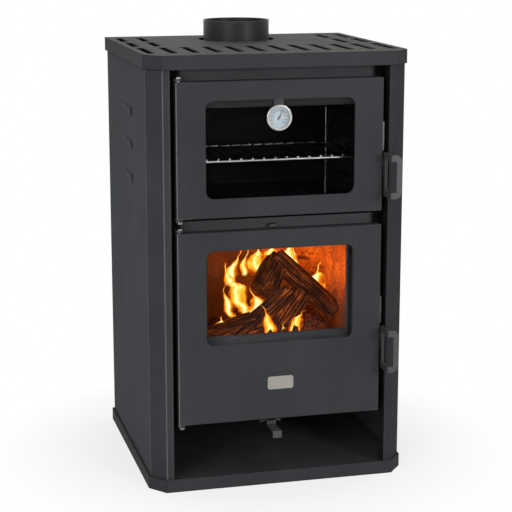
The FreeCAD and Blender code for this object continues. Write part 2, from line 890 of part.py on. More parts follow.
def clip_places(door):
    """Outward side, glass edge and height of each glass clip."""
    low = door.window_low - glass_overlap
    tall = door.window_high + glass_overlap - low
    return [(side, edge, low + share * tall) for share in clip_shares
            for side, edge in ((-1, window_left - glass_overlap), (1, window_right + glass_overlap))]


def clip_screw_hole(x, z):
    return rod(screw_radius, Vec(x, sheet_back, z), Vec(x, door_back + overrun, z))


def clip_screw_x(side, edge):
    return edge + side * (clip_gap + clip_foot / 2)


def glass_clips(door):
    clips = []
    glass_back = sheet_back + door.seal_depth + glass_thickness
    for side, edge, z in clip_places(door):
        low = z - clip_width / 2
        high = z + clip_width / 2
        outer = edge + side * (clip_gap + clip_foot)
        foot = sorted((edge + side * clip_gap, outer))
        lip = sorted((edge - side * clip_lip, outer))
        clip = joined([box(*foot, sheet_back, glass_back + clip_thickness, low, high),
                       box(*lip, glass_back, glass_back + clip_thickness, low, high)])
        clips.append(cut(clip, [clip_screw_hole(clip_screw_x(side, edge), z)]))
    return Part.makeCompound(clips)


def clip_screws(door):
    screws = []
    seat = sheet_back + door.seal_depth + glass_thickness + clip_thickness
    length = clip_thickness + (door.seal_depth + glass_thickness) / 2
    for side, edge, z in clip_places(door):
        x = clip_screw_x(side, edge)
        head = rod(screw_head_radius, Vec(x, seat, z), Vec(x, seat + screw_head_height, z))
        screws.append(joined([head, rod(screw_radius, Vec(x, seat - length, z), Vec(x, seat, z))]))
    return Part.makeCompound(screws)


def badge_plate():
    """Bare oval plate with a raised rim, on the front of the firebox door."""
    middle = firebox_low + badge_up
    left = door_x - badge_width / 2
    low = middle - badge_height / 2
    front = casing_front - badge_thickness
    plate = rounded(left, left + badge_width, front, casing_front, low, low + badge_height, badge_corner)
    field = rounded(left + badge_rim, left + badge_width - badge_rim, front - overrun, front + badge_recess,
                    low + badge_rim, low + badge_height - badge_rim, badge_corner / 2)
    return cut(plate, [field])


def lever_axis(x, handle_z):
    return Vec(x, lever_pin_y, handle_z + lever_pin_up)


def handle(middle):
    """Bent lever: a plate beside the door, a wing across the front and a finger hole round the bend."""
    low = middle - lever_height / 2
    high = middle + lever_height / 2
    wing_right = lever_left + lever_wing
    wing_back = lever_front + lever_thickness
    wing = rounded(lever_left - lever_corner, wing_right, lever_front, wing_back, low, high, lever_corner)
    wing = cut(wing, [box(lever_left - lever_corner, lever_left, lever_front, wing_back, low, high)])
    lever = joined([wing, box(lever_left, lever_right, lever_front, casing_front, low, high),
                    box(lever_left, lever_right, casing_front, casing_front + neck_back,
                        middle - neck_down, middle + neck_up)])
    bend = [edge for edge in lever.Edges
            if edge.BoundBox.XMax < lever_left + lever_bend / 2 and edge.BoundBox.YMax < lever_front + lever_bend / 2
            and edge.BoundBox.ZLength > lever_leg]
    lever = lever.makeFillet(lever_bend, bend)
    hole_low = low + lever_leg
    hole_high = high - lever_leg
    through_wing = rounded(lever_left - overrun, wing_right - lever_bar, lever_front - overrun, wing_back,
                           hole_low, hole_high, lever_hole_corner)
    through_plate = box(lever_left - overrun, lever_right + overrun, lever_front - overrun,
                        casing_front - lever_web, hole_low, hole_high)
    pin_hole = rod(lever_pin_radius + pin_clear, lever_axis(lever_left - overrun, middle),
                   lever_axis(lever_right + overrun, middle))
    return cut(lever, [through_wing, through_plate, pin_hole])


def handle_pin(middle):
    tail = door_right - door_sheet - lever_pin_tail
    seat = lever_right + clear
    return joined([rod(lever_pin_radius, lever_axis(tail, middle), lever_axis(seat, middle)),
                   rod(lever_pin_shoulder, lever_axis(door_right, middle), lever_axis(lever_left - clear, middle)),
                   rod(lever_pin_head_radius, lever_axis(seat, middle), lever_axis(seat + lever_pin_head, middle))])


gauge_z = oven_door.window_high - gauge_drop
gauge_back = door_back - inner_frame_thickness - gauge_bracket_sheet
gauge_front = gauge_back - gauge_depth
lens_front = gauge_front + gauge_bezel_depth
dial_front = gauge_back - gauge_wall - dial_thickness
needle_back = dial_front - needle_gap


def disc(radius, y0, y1):
    """Round piece of the thermometer, between two depths."""
    return rod(radius, Vec(door_x, y0, gauge_z), Vec(door_x, y1, gauge_z))


def thermometer_bracket():
    return box(door_x - gauge_bracket_width / 2, door_x + gauge_bracket_width / 2, gauge_back,
               gauge_back + gauge_bracket_sheet, gauge_z - gauge_bracket_fall, gauge_z + gauge_bracket_rise)


def thermometer_case():
    """Cup with a ring round its mouth that holds the lens."""
    block = disc(gauge_radius, gauge_front, gauge_back)
    mouth = [edge for edge in block.Edges
             if edge.BoundBox.YMax < gauge_front + gauge_bezel_round and edge.BoundBox.XLength > gauge_radius]
    return cut(block.makeFillet(gauge_bezel_round, mouth),
               [disc(gauge_radius - gauge_wall, lens_front, gauge_back - gauge_wall),
                disc(gauge_radius - gauge_bezel, gauge_front - overrun, lens_front + clear)])


def thermometer_dial():
    face = disc(gauge_radius - gauge_wall - clear, dial_front, gauge_back - gauge_wall)
    return joined([face, disc(needle_post_radius, needle_back - needle_thickness - needle_gap, dial_front)])


def thermometer_lens():
    return disc(gauge_radius - gauge_wall - clear, lens_front, lens_front + lens_thickness)


def thermometer_needle():
    half = needle_width / 2
    outline = [(-half, -needle_tail), (half, -needle_tail), (half, 0), (0, needle_length), (-half, 0)]
    hand = prism([Vec(door_x + x, needle_back, gauge_z + z) for x, z in outline], Vec(0, -needle_thickness, 0))
    needle = joined([hand, disc(needle_hub_radius, needle_back - needle_thickness, needle_back)])
    needle.rotate(Vec(door_x, needle_back, gauge_z), Vec(0, 1, 0), needle_angle)
    return cut(needle, [disc(needle_post_radius + pin_clear, needle_back - overrun, needle_back + overrun)])


def door_nodes(name, door, handle_z):
    """Pieces that both doors have."""
    return {name + "_door_panel": door_panel(door, handle_z),
            name + "_door_inner_frame": door_inner_frame(door),
            name + "_door_rope_seal": door_rope_seal(door),
            name + "_glass_seal": glass_seal(door),
            name + "_door_glass": door_glass(door),
            name + "_glass_clips": glass_clips(door),
            name + "_clip_screws": clip_screws(door),
            name + "_handle": handle(handle_z),
            name + "_handle_pin": handle_pin(handle_z)}


def all_nodes():
    right_pillar = pillar()
    right_side_panel = side_panel()
    nodes = {"left_pillar": mirrored(right_pillar), "right_pillar": right_pillar,
             "left_side_panel": mirrored(right_side_panel), "right_side_panel": right_side_panel}
    for make in (top_plate, base_skirt, niche_floor, back_panel, back_panel_screws, front_frame,
                 body_side_walls, body_back_wall, body_top, body_floor, body_rear_supports, flue_collar,
                 oven_floor, oven_ceiling, oven_side_walls, oven_back_wall, oven_runners, oven_rack,
                 hearth_plate, fire_grate, side_firebricks, back_firebricks, firebrick_plate, ash_pan,
                 primary_air_box, primary_air_slide, secondary_air_guide, secondary_air_slide,
                 hinge_lugs, hinge_pins, latch_keepers, badge_plate, thermometer_bracket, thermometer_case,
                 thermometer_dial, thermometer_lens, thermometer_needle):
        nodes[make.__name__] = make()
    nodes.update(door_nodes("oven", oven_door, oven_handle_z))
    nodes.update(door_nodes("firebox", firebox_door, firebox_handle_z))
    return nodes


os.makedirs("parts", exist_ok=True)
for node, shape in all_nodes().items():
    shape.exportStep("parts/" + node + ".step")
    print(node, len(shape.Solids), "solids", "valid" if shape.isValid() else "not valid", round(shape.Volume))
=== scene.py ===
import json
from math import cos, pi, radians, sin

import bmesh
import bpy
from mathutils import Matrix, Vector
from mathutils.noise import fractal


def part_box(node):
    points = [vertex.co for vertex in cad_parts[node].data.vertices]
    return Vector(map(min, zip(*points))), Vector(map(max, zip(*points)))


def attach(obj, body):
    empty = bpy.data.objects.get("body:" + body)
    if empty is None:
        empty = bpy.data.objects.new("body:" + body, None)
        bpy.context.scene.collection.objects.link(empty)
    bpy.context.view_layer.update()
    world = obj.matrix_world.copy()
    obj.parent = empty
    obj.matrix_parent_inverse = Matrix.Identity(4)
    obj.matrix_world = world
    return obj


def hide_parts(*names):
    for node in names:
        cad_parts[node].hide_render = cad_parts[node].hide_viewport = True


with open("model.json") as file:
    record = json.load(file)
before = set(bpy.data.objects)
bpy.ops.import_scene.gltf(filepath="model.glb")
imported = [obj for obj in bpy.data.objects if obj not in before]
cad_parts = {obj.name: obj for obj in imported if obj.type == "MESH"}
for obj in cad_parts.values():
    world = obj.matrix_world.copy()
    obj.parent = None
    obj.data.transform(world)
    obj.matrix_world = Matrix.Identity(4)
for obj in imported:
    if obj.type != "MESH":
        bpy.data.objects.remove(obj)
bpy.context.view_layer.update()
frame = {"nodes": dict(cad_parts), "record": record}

nodes = frame["nodes"]

# Sizes are in metres and share the frame of the model: x to the right, y to the back, z up.
mm = 0.001

# Camera
camera_place = (-0.7652, -3.0144, 1.0968)
camera_down = 12.445           # degrees below level
camera_right = 14.426          # degrees turned to the right
camera_lens = 107.66           # mm on a sensor of sensor_width
sensor_width = 36.0

# Floor and lamps
floor_half = 60.0
floor_fade = (0.3, 0.56)       # distance over which the floor turns white
floor_white = 0.75             # share of white under the object
floor_speckle = 40 * mm
lamps = {                      # place, side and power
    "key_lamp": ((1.9, -3.9, 1.3), 1.1, 62.0),
    "fill_lamp": ((-2.7, -3.0, 1.6), 2.4, 73.0),
    "top_lamp": ((0.2, -0.2, 4.2), 3.2, 74.0),
    "rim_lamp": ((-1.5, 3.6, 2.6), 2.6, 24.0),
}
lamp_aim = (0.0, 0.0, 0.45)
sky_light = 0.2                # light of the room on the object

# Painted sheet
paint_grain = 0.9 * mm
paint_cloud = 160 * mm
paint_edge = 4.0 * mm          # width of the rounded edge of painted sheet
paint_fleck_share = 2.0        # tone of the flecks, as a multiple of the pale tone
dust_patch = 70 * mm
flat_share = 0.9               # share of a face's direction along an axis from which it counts as flat
slot_wall_low = 0.848          # middles of the slot walls in the top plate lie above this
plain_edges = (0.165, 0.18)    # sideways reach of the edges that get no painted highlight
window_reach = 0.16            # the fire window's own edge faces lie inside this, and between these heights
window_low = 0.28
window_high = 0.48
edge_bend = (0.995, 0.86)      # cosine of the turn at which an edge begins and is full
painted_highlight_side = (-1.0, 0.0, -0.12)    # side from which edges get a painted highlight
painted_highlight_facing = (0.02, 0.3)      # how far an edge looks that way when its painted highlight begins and when it is full
painted_highlight_away = 0.1              # share of the painted highlight left on edges that look away from that side
edge_patch = 14 * mm
edge_samples = 6
frame_shade_sides = (0.186, 0.195)    # from the middle of the front frame to its sides, which are painted in shade
# middle, half width and darkness of the lines of painted shadow across the front frame
frame_shadow_lines = ((0.793, 0.0055, 1.0), (0.5355, 0.004, 1.0), (0.5045, 0.005, 1.0), (0.288, 0.014, 0.5))
frame_shadow_soft = 0.4 * mm

# Grain, patches, rounded edges and relief of the other finishes
noise_low = 0.3                # noise seldom goes below this
noise_high = 0.7               # or above this
fine_edge = 0.5 * mm           # width of the rounded edge of small metal pieces
wire_edge = 1.6 * mm           # wires and the thermometer's bracket are rounder
scratch_width = 1.2 * mm
enamel_grain = 0.7 * mm
enamel_cloud = 50 * mm
enamel_smear = 45 * mm
enamel_edge = 1.5 * mm
enamel_ripple = 5 * mm
enamel_relief = 0.01 * mm
zinc_smear = 12 * mm
zinc_crystal = 5 * mm
zinc_relief = 0.02 * mm
plating_smear = 18 * mm
plating_heat = 35 * mm
plating_relief = 0.01 * mm
grate_edge = 1.5 * mm
grate_ash = 25 * mm
grate_lump = 2.2 * mm
grate_scale = 30 * mm
grate_relief = 0.5 * mm
brick_edge = 2 * mm
brick_lump = 6 * mm
brick_soot = 70 * mm
brick_pit = 7 * mm
brick_crack = 46 * mm
brick_relief = 0.8 * mm
firelight_reach = (-0.16, 0.13)     # painted firelight: the bricks' glow grows from left to right
firelight_height = (0.26, 0.4)      # and from the hearth upwards
glass_smear = 60 * mm
glass_bend = 1.04              # refraction of the door glass
needle_edge = 0.2 * mm
needle_mottle = 2 * mm
needle_tip = (11.6 * mm, 12.2 * mm)    # the dark tip begins between these, from the dial's middle
badge_line = 0.35 * mm
badge_relief = 0.02 * mm

# Thermometer face
dial_low, dial_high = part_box("thermometer_dial")
dial_middle = (dial_low + dial_high) / 2
dial_thickness = 1.0 * mm
dial_sides = 64
dial_post_radius = 0.8 * mm
dial_post_sides = 16
dial_rim = 0.6 * mm
dial_sink = 0.25 * mm
dial_marks = 11
dial_first = -135.0            # degrees from straight up to the first number
dial_last = 135.0
dial_step = 50                 # degrees of heat between two numbers
dial_number_size = 5.2 * mm
dial_number_share = 0.6        # middle of the numbers from the middle of the dial
dial_number_steps = 3          # straight pieces in each curve of a number
dial_tick_share = 0.82         # outer end of the marks from the middle of the dial
dial_long_tick = 2.6 * mm
dial_short_tick = 1.5 * mm
dial_tick_width = 0.45 * mm
dial_fine_parts = 5            # short steps between two numbers
dial_grain = 0.5 * mm
dial_cloud = 12 * mm
ink_thickness = 0.06 * mm
ink_grain = 0.3 * mm
ink_cloud = 4 * mm

# Lumps of the fire's shapes
lump_fade = 1.0                # how quickly finer lumps grow weaker
lump_finer = 2.0               # how much finer each layer of lumps is
lump_layers = 3

# Logs: start, end and thickness in millimetres, turn in degrees, split faces and place in the noise.
# Split faces are pairs of an angle and a distance from the middle.
wedge = ((0, 0.34), (75, 0.5), (150, 0.42), (215, 0.5), (290, 0.46))
block = ((5, 0.5), (92, 0.46), (178, 0.5), (270, 0.42), (228, 0.6))
logs = {
    "log_leaning": ((33, -62, 420), (148, -110, 308), 40, 20, wedge, 3.1),
    "log_crossed": ((0, -116, 368), (42, -48, 404), 48, 40, block, 7.7),
    "log_front": ((-100, -158, 262), (50, -108, 358), 42, 65, wedge, 12.4),
    "log_left": ((-140, -150, 278), (-30, -136, 306), 36, 10, block, 17.9),
    "log_under": ((84, -86, 346), (12, -120, 268), 46, 30, block, 23.3),
}
log_sides = 40
log_steps = 26
log_face_lean = 0.05           # split faces that lean less than this to a direction don't bound it
log_fibre_share = 0.12         # how quickly the tearing changes along a log, against round it
log_tear = 0.07                # depth of the tearing, as a share of the thickness
log_tear_fine = 2.0            # how fine it is round the log
log_end_fine = 3.0             # and at the ends
log_bow = 0.05                 # bend in the middle, as a share of the thickness
wood_fibre = 3 * mm
wood_patch = 26 * mm
wood_crack = 11 * mm
wood_edge = 3 * mm
wood_relief = 1.2 * mm

# Embers, their box in millimetres
ember_box = ((-146, -166, 260.2), (150, 8, 306))
ember_grid = (64, 40)
ember_rim = 8.0                # how steeply the mound rises from its rim
ember_left_share = 0.45        # height at the left, as a share of that at the right
ember_lumps = 0.35             # height of the lumps, as a share of the mound's
ember_lump_size = 11 * mm
ember_grain = 4 * mm
ember_swirl = 90.0             # swirls in a metre
ember_shift = 9 * mm
ember_gap = 9 * mm
ember_patch = 45 * mm
ember_relief = 3 * mm

# Flames: foot, middle, tip and width in millimetres
flame_grid = (10, 28)
flame_tip_share = 0.15         # width left at the tip
flame_foot_rise = 0.12         # a tongue's foot begins this far into its swell
flame_swell = 1.25             # how soon the swell ends below the tip
flame_fullness = 0.8
flame_sway = 0.35              # sideways sway, as a share of the width
flame_wave = 32 * mm
flame_bulge = 0.3              # how far the middle stands back, as a share of the width
flame_tear = 20 * mm
flames = (
    ((-23, -62, 287), (-55, -62, 390), (-67, -62, 413), 39),
    ((-58, -61, 362), (-46, -61, 404), (-30, -61, 446), 30),
    ((18, -30, 376), (12, -30, 416), (6, -30, 444), 51),
    ((-21, -28, 374), (-24, -28, 396), (-15, -28, 437), 21),
    ((34, -26, 414), (32, -26, 423), (39, -26, 440), 33),
    ((84, -20, 396), (70, -20, 420), (80, -20, 446), 30),
    ((98, -16, 384), (84, -16, 408), (92, -16, 444), 16),
    ((134, -40, 336), (120, -40, 366), (136, -40, 398), 44),
    ((-53, -66, 292), (-76, -66, 342), (-74, -66, 369), 22),
    ((-112, -140, 294), (-101, -140, 308), (-98, -140, 322), 24),
    ((-5, -156, 275), (9, -156, 312), (-21, -156, 349), 28),
    ((48, -156, 276), (48, -156, 320), (76, -156, 328), 30),
    ((30, -150, 278), (30, -150, 292), (27, -150, 302), 10),
    ((-14, -52, 289), (10, -52, 326), (-14, -52, 356), 45),
    ((-2, -134, 338), (20, -132, 352), (42, -128, 368), 12),
)

# Rope seals: name, the seal it lies in, body and width
ropes = (
    ("oven_door_rope", "oven_door_rope_seal", "oven_door", 10 * mm),
    ("oven_glass_rope", "oven_glass_seal", "oven_door", 9 * mm),
    ("firebox_door_rope", "firebox_door_rope_seal", "firebox_door", 10 * mm),
    ("firebox_glass_rope", "firebox_glass_seal", "firebox_door", 9 * mm),
)
rope_sides = 20
rope_step = 1.6 * mm
rope_corner_share = 0.75       # corner radius as a share of the rope's width
rope_strands = 4               # strands seen round the rope in each direction
rope_pitch = 13 * mm
rope_relief = 0.16             # depth between strands, as a share of the radius
rope_weld = 0.01 * mm          # corners nearer than this become one
rope_fibre = 0.5 * mm
rope_fibre_relief = 0.2 * mm
rope_dirt = 22 * mm

white = (1, 1, 1, 1)
black = (0, 0, 0, 1)


def put(tree, kind, sockets=None, **settings):
    """A node of a tree, with its settings and with its sockets set or linked."""
    node = tree.nodes.new(kind)
    for name, value in settings.items():
        setattr(node, name, value)
    for name, value in (sockets or {}).items():
        if isinstance(value, bpy.types.NodeSocket):
            tree.links.new(value, node.inputs[name])
        else:
            node.inputs[name].default_value = value
    return node


def calc(tree, operation, first, second=0.5, clamp=False):
    """A number worked out from one or two others."""
    return put(tree, "ShaderNodeMath", {0: first, 1: second}, operation=operation, use_clamp=clamp).outputs[0]


def times(tree, first, *others):
    """Numbers multiplied with each other."""
    for other in others:
        first = calc(tree, "MULTIPLY", first, other)
    return first


def vectors(tree, operation, first, second=(0, 0, 0), output="Vector"):
    """A vector worked out from others, or with the output Value a number."""
    return put(tree, "ShaderNodeVectorMath", {0: first, 1: second}, operation=operation).outputs[output]


def ramp(tree, value, stops):
    """Colour ramp: stops are pairs of a place and a colour."""
    node = put(tree, "ShaderNodeValToRGB", {"Fac": value})
    points = node.color_ramp.elements
    for place, colour in stops[2:]:
        points.new(place)
    for point, (place, colour) in zip(points, stops):
        point.position = place
        point.color = (*colour, 1)
    return node.outputs["Color"]


def tones(tree, lumps, deep, pale):
    """Colour that goes from deep to pale with noise."""
    return ramp(tree, lumps, ((noise_low, deep), (noise_high, pale)))


def mixed(tree, share, first, second):
    """Colour between two colours."""
    return put(tree, "ShaderNodeMix", {0: share, 6: first, 7: second}, data_type="RGBA").outputs[2]


def span(tree, value, low, high, to_low=0.0, to_high=1.0):
    """A value mapped from one range to another, held at the ends."""
    sockets = {"Value": value, "From Min": low, "From Max": high, "To Min": to_low, "To Max": to_high}
    return put(tree, "ShaderNodeMapRange", sockets).outputs["Result"]


def roughness(tree, lumps, low, high):
    """Roughness that goes from low to high with noise."""
    return span(tree, lumps, noise_low, noise_high, low, high)


def noise(tree, place, size, detail=4.0, rough=0.55, stretch=(1, 1, 1)):
    """Noise whose lumps are about size across; stretch makes them longer along an axis."""
    scale = tuple(1 / (size * part) for part in stretch)
    spread = put(tree, "ShaderNodeMapping", {"Vector": place, "Scale": scale}).outputs[0]
    sockets = {"Vector": spread, "Scale": 1.0, "Detail": detail, "Roughness": rough}
    return put(tree, "ShaderNodeTexNoise", sockets).outputs["Fac"]


def cells(tree, place, size, feature="F1", output="Distance"):
    """Irregular cells about size across."""
    spread = put(tree, "ShaderNodeMapping", {"Vector": place, "Scale": (1 / size,) * 3}).outputs[0]
    sockets = {"Vector": spread, "Scale": 1.0}
    return put(tree, "ShaderNodeTexVoronoi", sockets, feature=feature).outputs[output]


def object_place(tree):
    return put(tree, "ShaderNodeTexCoord").outputs["Object"]


def axis_of(tree, place, axis):
    return put(tree, "ShaderNodeSeparateXYZ", {0: place}).outputs[axis]


def bumped(tree, height, depth, normal=None, strength=1.0):
    """Normal that follows a height."""
    sockets = {"Height": height, "Distance": depth, "Strength": strength}
    if normal is not None:
        sockets["Normal"] = normal
    return put(tree, "ShaderNodeBump", sockets).outputs[0]


def new_group(name, inputs, outputs):
    """Shader node group with number inputs, and with outputs that name their kind of socket."""
    tree = bpy.data.node_groups.new(name, "ShaderNodeTree")
    for label in inputs:
        tree.interface.new_socket(label, in_out="INPUT", socket_type="NodeSocketFloat")
    for label, kind in outputs.items():
        tree.interface.new_socket(label, in_out="OUTPUT", socket_type="NodeSocket" + kind)
    return tree, put(tree, "NodeGroupInput").outputs


def use(tree, group, **values):
    """A placed group; value names have underscores for spaces."""
    sockets = {name.replace("_", " "): value for name, value in values.items()}
    return put(tree, "ShaderNodeGroup", sockets, node_tree=group).outputs


def group_noise(tree, size, detail, rough=0.5, swirl=0.0):
    """Noise whose lumps are as large as an input of a group says."""
    sockets = {"Vector": object_place(tree), "Scale": calc(tree, "DIVIDE", 1.0, size), "Detail": detail,
               "Roughness": rough, "Distortion": swirl}
    return put(tree, "ShaderNodeTexNoise", sockets).outputs["Fac"]


def edge_group():
    """Rounded edges: a softened normal, and a mask for a painted edge tone, mostly a painted highlight, full
    on edges that face one fixed side.
    """
    tree, given = new_group("rounded_edges_painted_highlight", ("Width", "Break"), {"Normal": "Vector", "Edge": "Float"})
    soft = put(tree, "ShaderNodeBevel", {"Radius": given["Width"]}, samples=edge_samples).outputs[0]
    flat = put(tree, "ShaderNodeNewGeometry").outputs["True Normal"]
    bend = span(tree, vectors(tree, "DOT_PRODUCT", soft, flat, "Value"), *edge_bend)
    facing = put(tree, "ShaderNodeVectorTransform", {0: soft}, vector_type="NORMAL", convert_from="WORLD",
                 convert_to="OBJECT").outputs[0]
    # Painted highlight: edges that face the fixed side keep the mask, the others keep only a small share.
    towards = vectors(tree, "DOT_PRODUCT", facing, painted_highlight_side, "Value")
    painted_catch = times(tree, bend, span(tree, towards, *painted_highlight_facing, painted_highlight_away, 1.0))
    patches = noise(tree, object_place(tree), edge_patch)
    kept = calc(tree, "SUBTRACT", 1.0, times(tree, patches, given["Break"]))
    put(tree, "NodeGroupOutput", {"Normal": soft, "Edge": times(tree, painted_catch, kept)})
    return tree


def grain_group():
    """Sprayed grain: fine lumps, slow clouds of tone and sparse bright flecks."""
    outputs = {"Lumps": "Float", "Clouds": "Float", "Flecks": "Float"}
    tree, given = new_group("sprayed_grain", ("Size", "Cloud Size"), outputs)
    spots = {"Vector": object_place(tree), "Scale": calc(tree, "DIVIDE", 0.8, given["Size"])}
    tone = axis_of(tree, put(tree, "ShaderNodeTexVoronoi", spots).outputs["Color"], 0)
    put(tree, "NodeGroupOutput", {
        "Lumps": group_noise(tree, given["Size"], detail=3.0, rough=0.6),
        "Clouds": group_noise(tree, given["Cloud Size"], detail=5.0, rough=0.55),
        "Flecks": span(tree, tone, 0.86, 1.0),
    })
    return tree


def dust_group():
    """Loose ash and dust: lies on faces that look up, in patches."""
    tree, given = new_group("settled_dust", ("Cover", "Patch Size"), {"Dust": "Float"})
    facing = axis_of(tree, put(tree, "ShaderNodeNewGeometry").outputs["Normal"], 2)
    patch = group_noise(tree, given["Patch Size"], detail=6.0, rough=0.65)
    lying = times(tree, span(tree, facing, 0.3, 0.95), span(tree, patch, 0.35, 0.7), given["Cover"])
    put(tree, "NodeGroupOutput", {"Dust": lying})
    return tree


def smear_group():
    """Wiped smears and fine scratches on bright or glossy surfaces."""
    tree, given = new_group("wiped_smears", ("Size",), {"Smears": "Float", "Scratches": "Float"})
    broad = group_noise(tree, given["Size"], detail=6.0, swirl=1.2)
    lines = noise(tree, object_place(tree), scratch_width, detail=2.0, stretch=(30, 30, 1))
    put(tree, "NodeGroupOutput", {
        "Smears": span(tree, broad, 0.35, 0.75),
        "Scratches": span(tree, lines, 0.62, 0.8),
    })
    return tree


rounded_edges_painted_highlight = edge_group()
sprayed_grain = grain_group()
settled_dust = dust_group()
wiped_smears = smear_group()


def finish(name, dress, *values, cover=None, **named):
    """Material whose shader takes its sockets from dress; cover lays another shader over it."""
    material = bpy.data.materials.new(name)
    material.use_nodes = True
    tree = material.node_tree
    tree.nodes.clear()
    shader = put(tree, "ShaderNodeBsdfPrincipled", dress(tree, *values, **named)).outputs[0]
    if cover:
        shader = cover(tree, shader)
    put(tree, "ShaderNodeOutputMaterial", {"Surface": shader})
    return material


def sprayed_paint(tree, deep, pale, edge, painted_edge_share, edge_width, grain_size, grain_depth, roughs, dust,
                  shine, shade=None, painted_edge_where=None):
    """Heat-proof paint on sheet steel: fine grain, slow clouds and a little dust, with a painted edge tone on
    the edges and, where asked, painted shade.
    """
    grain = use(tree, sprayed_grain, Size=grain_size, Cloud_Size=paint_cloud)
    edges = use(tree, rounded_edges_painted_highlight, Width=edge_width, Break=0.4)
    settled = use(tree, settled_dust, Cover=dust, Patch_Size=dust_patch)
    tone = tones(tree, grain["Clouds"], deep, pale)
    grainy = mixed(tree, span(tree, grain["Lumps"], 0.35, 0.65, 0.0, 0.35), tone, (*deep, 1))
    fleck = tuple(paint_fleck_share * part for part in pale)
    flecked = mixed(tree, times(tree, grain["Flecks"], 0.3), grainy, (*fleck, 1))
    painted_edge_mask = times(tree, edges["Edge"], painted_edge_share)
    if painted_edge_where:
        painted_edge_mask = times(tree, painted_edge_mask, painted_edge_where(tree))
    # Painted highlight on the masked edges; with a near-black edge tone it is a painted dark reflection along
    # bends instead.
    painted_edges_and_worn_crowns = mixed(tree, painted_edge_mask, flecked, (*edge, 1))
    colour = mixed(tree, settled["Dust"], painted_edges_and_worn_crowns, (0.2, 0.19, 0.18, 1))
    # Painted shade: near-black where the shade mask is 1.
    if shade:
        colour = mixed(tree, shade(tree), colour, (0.002, 0.002, 0.002, 1))
    return {
        "Base Color": colour,
        "Roughness": roughness(tree, grain["Lumps"], *roughs),
        "Specular IOR Level": shine,
        "Normal": bumped(tree, grain["Lumps"], grain_depth, edges["Normal"], 0.7),
    }


def highlighted_front_sides(tree):
    """1 on the outer parts of the front, whose edges get a painted highlight, and 0 round the windows, whose
    edges get none.
    """
    across = calc(tree, "ABSOLUTE", axis_of(tree, object_place(tree), 0))
    return span(tree, across, *plain_edges)


def frame_painted_shade(tree):
    """1 where shade is painted on the front frame: on its sides and in lines of painted shadow along the
    doors' edges and lower down.
    """
    place = object_place(tree)
    dark = span(tree, calc(tree, "ABSOLUTE", axis_of(tree, place, 0)), *frame_shade_sides)
    for middle, half, share in frame_shadow_lines:
        off = calc(tree, "ABSOLUTE", calc(tree, "SUBTRACT", axis_of(tree, place, 2), middle))
        line = span(tree, off, half - frame_shadow_soft, half + frame_shadow_soft, share, 0.0)
        dark = calc(tree, "MAXIMUM", dark, line)
    return dark


def oven_enamel(tree):
    """Black enamel with tiny pale specks and a slight orange-peel ripple."""
    grain = use(tree, sprayed_grain, Size=enamel_grain, Cloud_Size=enamel_cloud)
    smears = use(tree, wiped_smears, Size=enamel_smear)
    edges = use(tree, rounded_edges_painted_highlight, Width=enamel_edge, Break=0.2)
    tone = ramp(tree, grain["Clouds"], ((0.3, (0.003, 0.0035, 0.004)), (0.75, (0.006, 0.007, 0.008))))
    ripple = noise(tree, object_place(tree), enamel_ripple, detail=1.0)
    return {
        "Base Color": mixed(tree, times(tree, grain["Flecks"], 0.1), tone, (0.02, 0.021, 0.022, 1)),
        "Roughness": span(tree, smears["Smears"], 0.0, 1.0, 0.03, 0.1),
        "Specular IOR Level": 0.015,
        "Normal": bumped(tree, ripple, enamel_relief, edges["Normal"], 0.5),
    }


def zinc_steel(tree):
    """Zinc plate: bluish grey with faint crystal patches."""
    smears = use(tree, wiped_smears, Size=zinc_smear)
    edges = use(tree, rounded_edges_painted_highlight, Width=fine_edge, Break=0.3)
    crystal = axis_of(tree, cells(tree, object_place(tree), zinc_crystal, output="Color"), 0)
    tone = ramp(tree, crystal, ((0.0, (0.22, 0.23, 0.25)), (1.0, (0.36, 0.37, 0.39))))
    return {
        "Base Color": mixed(tree, times(tree, smears["Smears"], 0.4), tone, (0.18, 0.18, 0.18, 1)),
        "Metallic": 1.0,
        "Roughness": span(tree, crystal, 0.0, 1.0, 0.28, 0.42),
        "Normal": bumped(tree, smears["Scratches"], zinc_relief, edges["Normal"], 0.4),
    }


def bright_plating(tree, dull, bright, roughs, edge_width):
    """Plated metal with wiped smears, hairline scratches and warm heat marks."""
    smears = use(tree, wiped_smears, Size=plating_smear)
    edges = use(tree, rounded_edges_painted_highlight, Width=edge_width, Break=0.1)
    heat_and_painted_firelight = noise(tree, object_place(tree), plating_heat, detail=2.0)
    tone = ramp(tree, smears["Smears"], ((0.0, bright), (1.0, dull)))
    return {
        "Base Color": mixed(tree, span(tree, heat_and_painted_firelight, 0.5, 0.8, 0.0, 0.35), tone, (0.62, 0.56, 0.47, 1)),
        "Metallic": 1.0,
        "Roughness": span(tree, smears["Smears"], 0.0, 1.0, *roughs),
        "Normal": bumped(tree, smears["Scratches"], plating_relief, edges["Normal"], 0.3),
    }


def grate_iron(tree):
    """Cast iron: sand-cast lumps, dark scale and pale ash on top."""
    place = object_place(tree)
    edges = use(tree, rounded_edges_painted_highlight, Width=grate_edge, Break=0.4)
    dust = use(tree, settled_dust, Cover=0.8, Patch_Size=grate_ash)
    lumps = noise(tree, place, grate_lump, detail=5.0)
    tone = tones(tree, noise(tree, place, grate_scale), (0.02, 0.019, 0.018), (0.06, 0.05, 0.042))
    return {
        "Base Color": mixed(tree, dust["Dust"], tone, (0.34, 0.32, 0.3, 1)),
        "Roughness": roughness(tree, lumps, 0.62, 0.9),
        "Normal": bumped(tree, lumps, grate_relief, edges["Normal"], 0.8),
    }


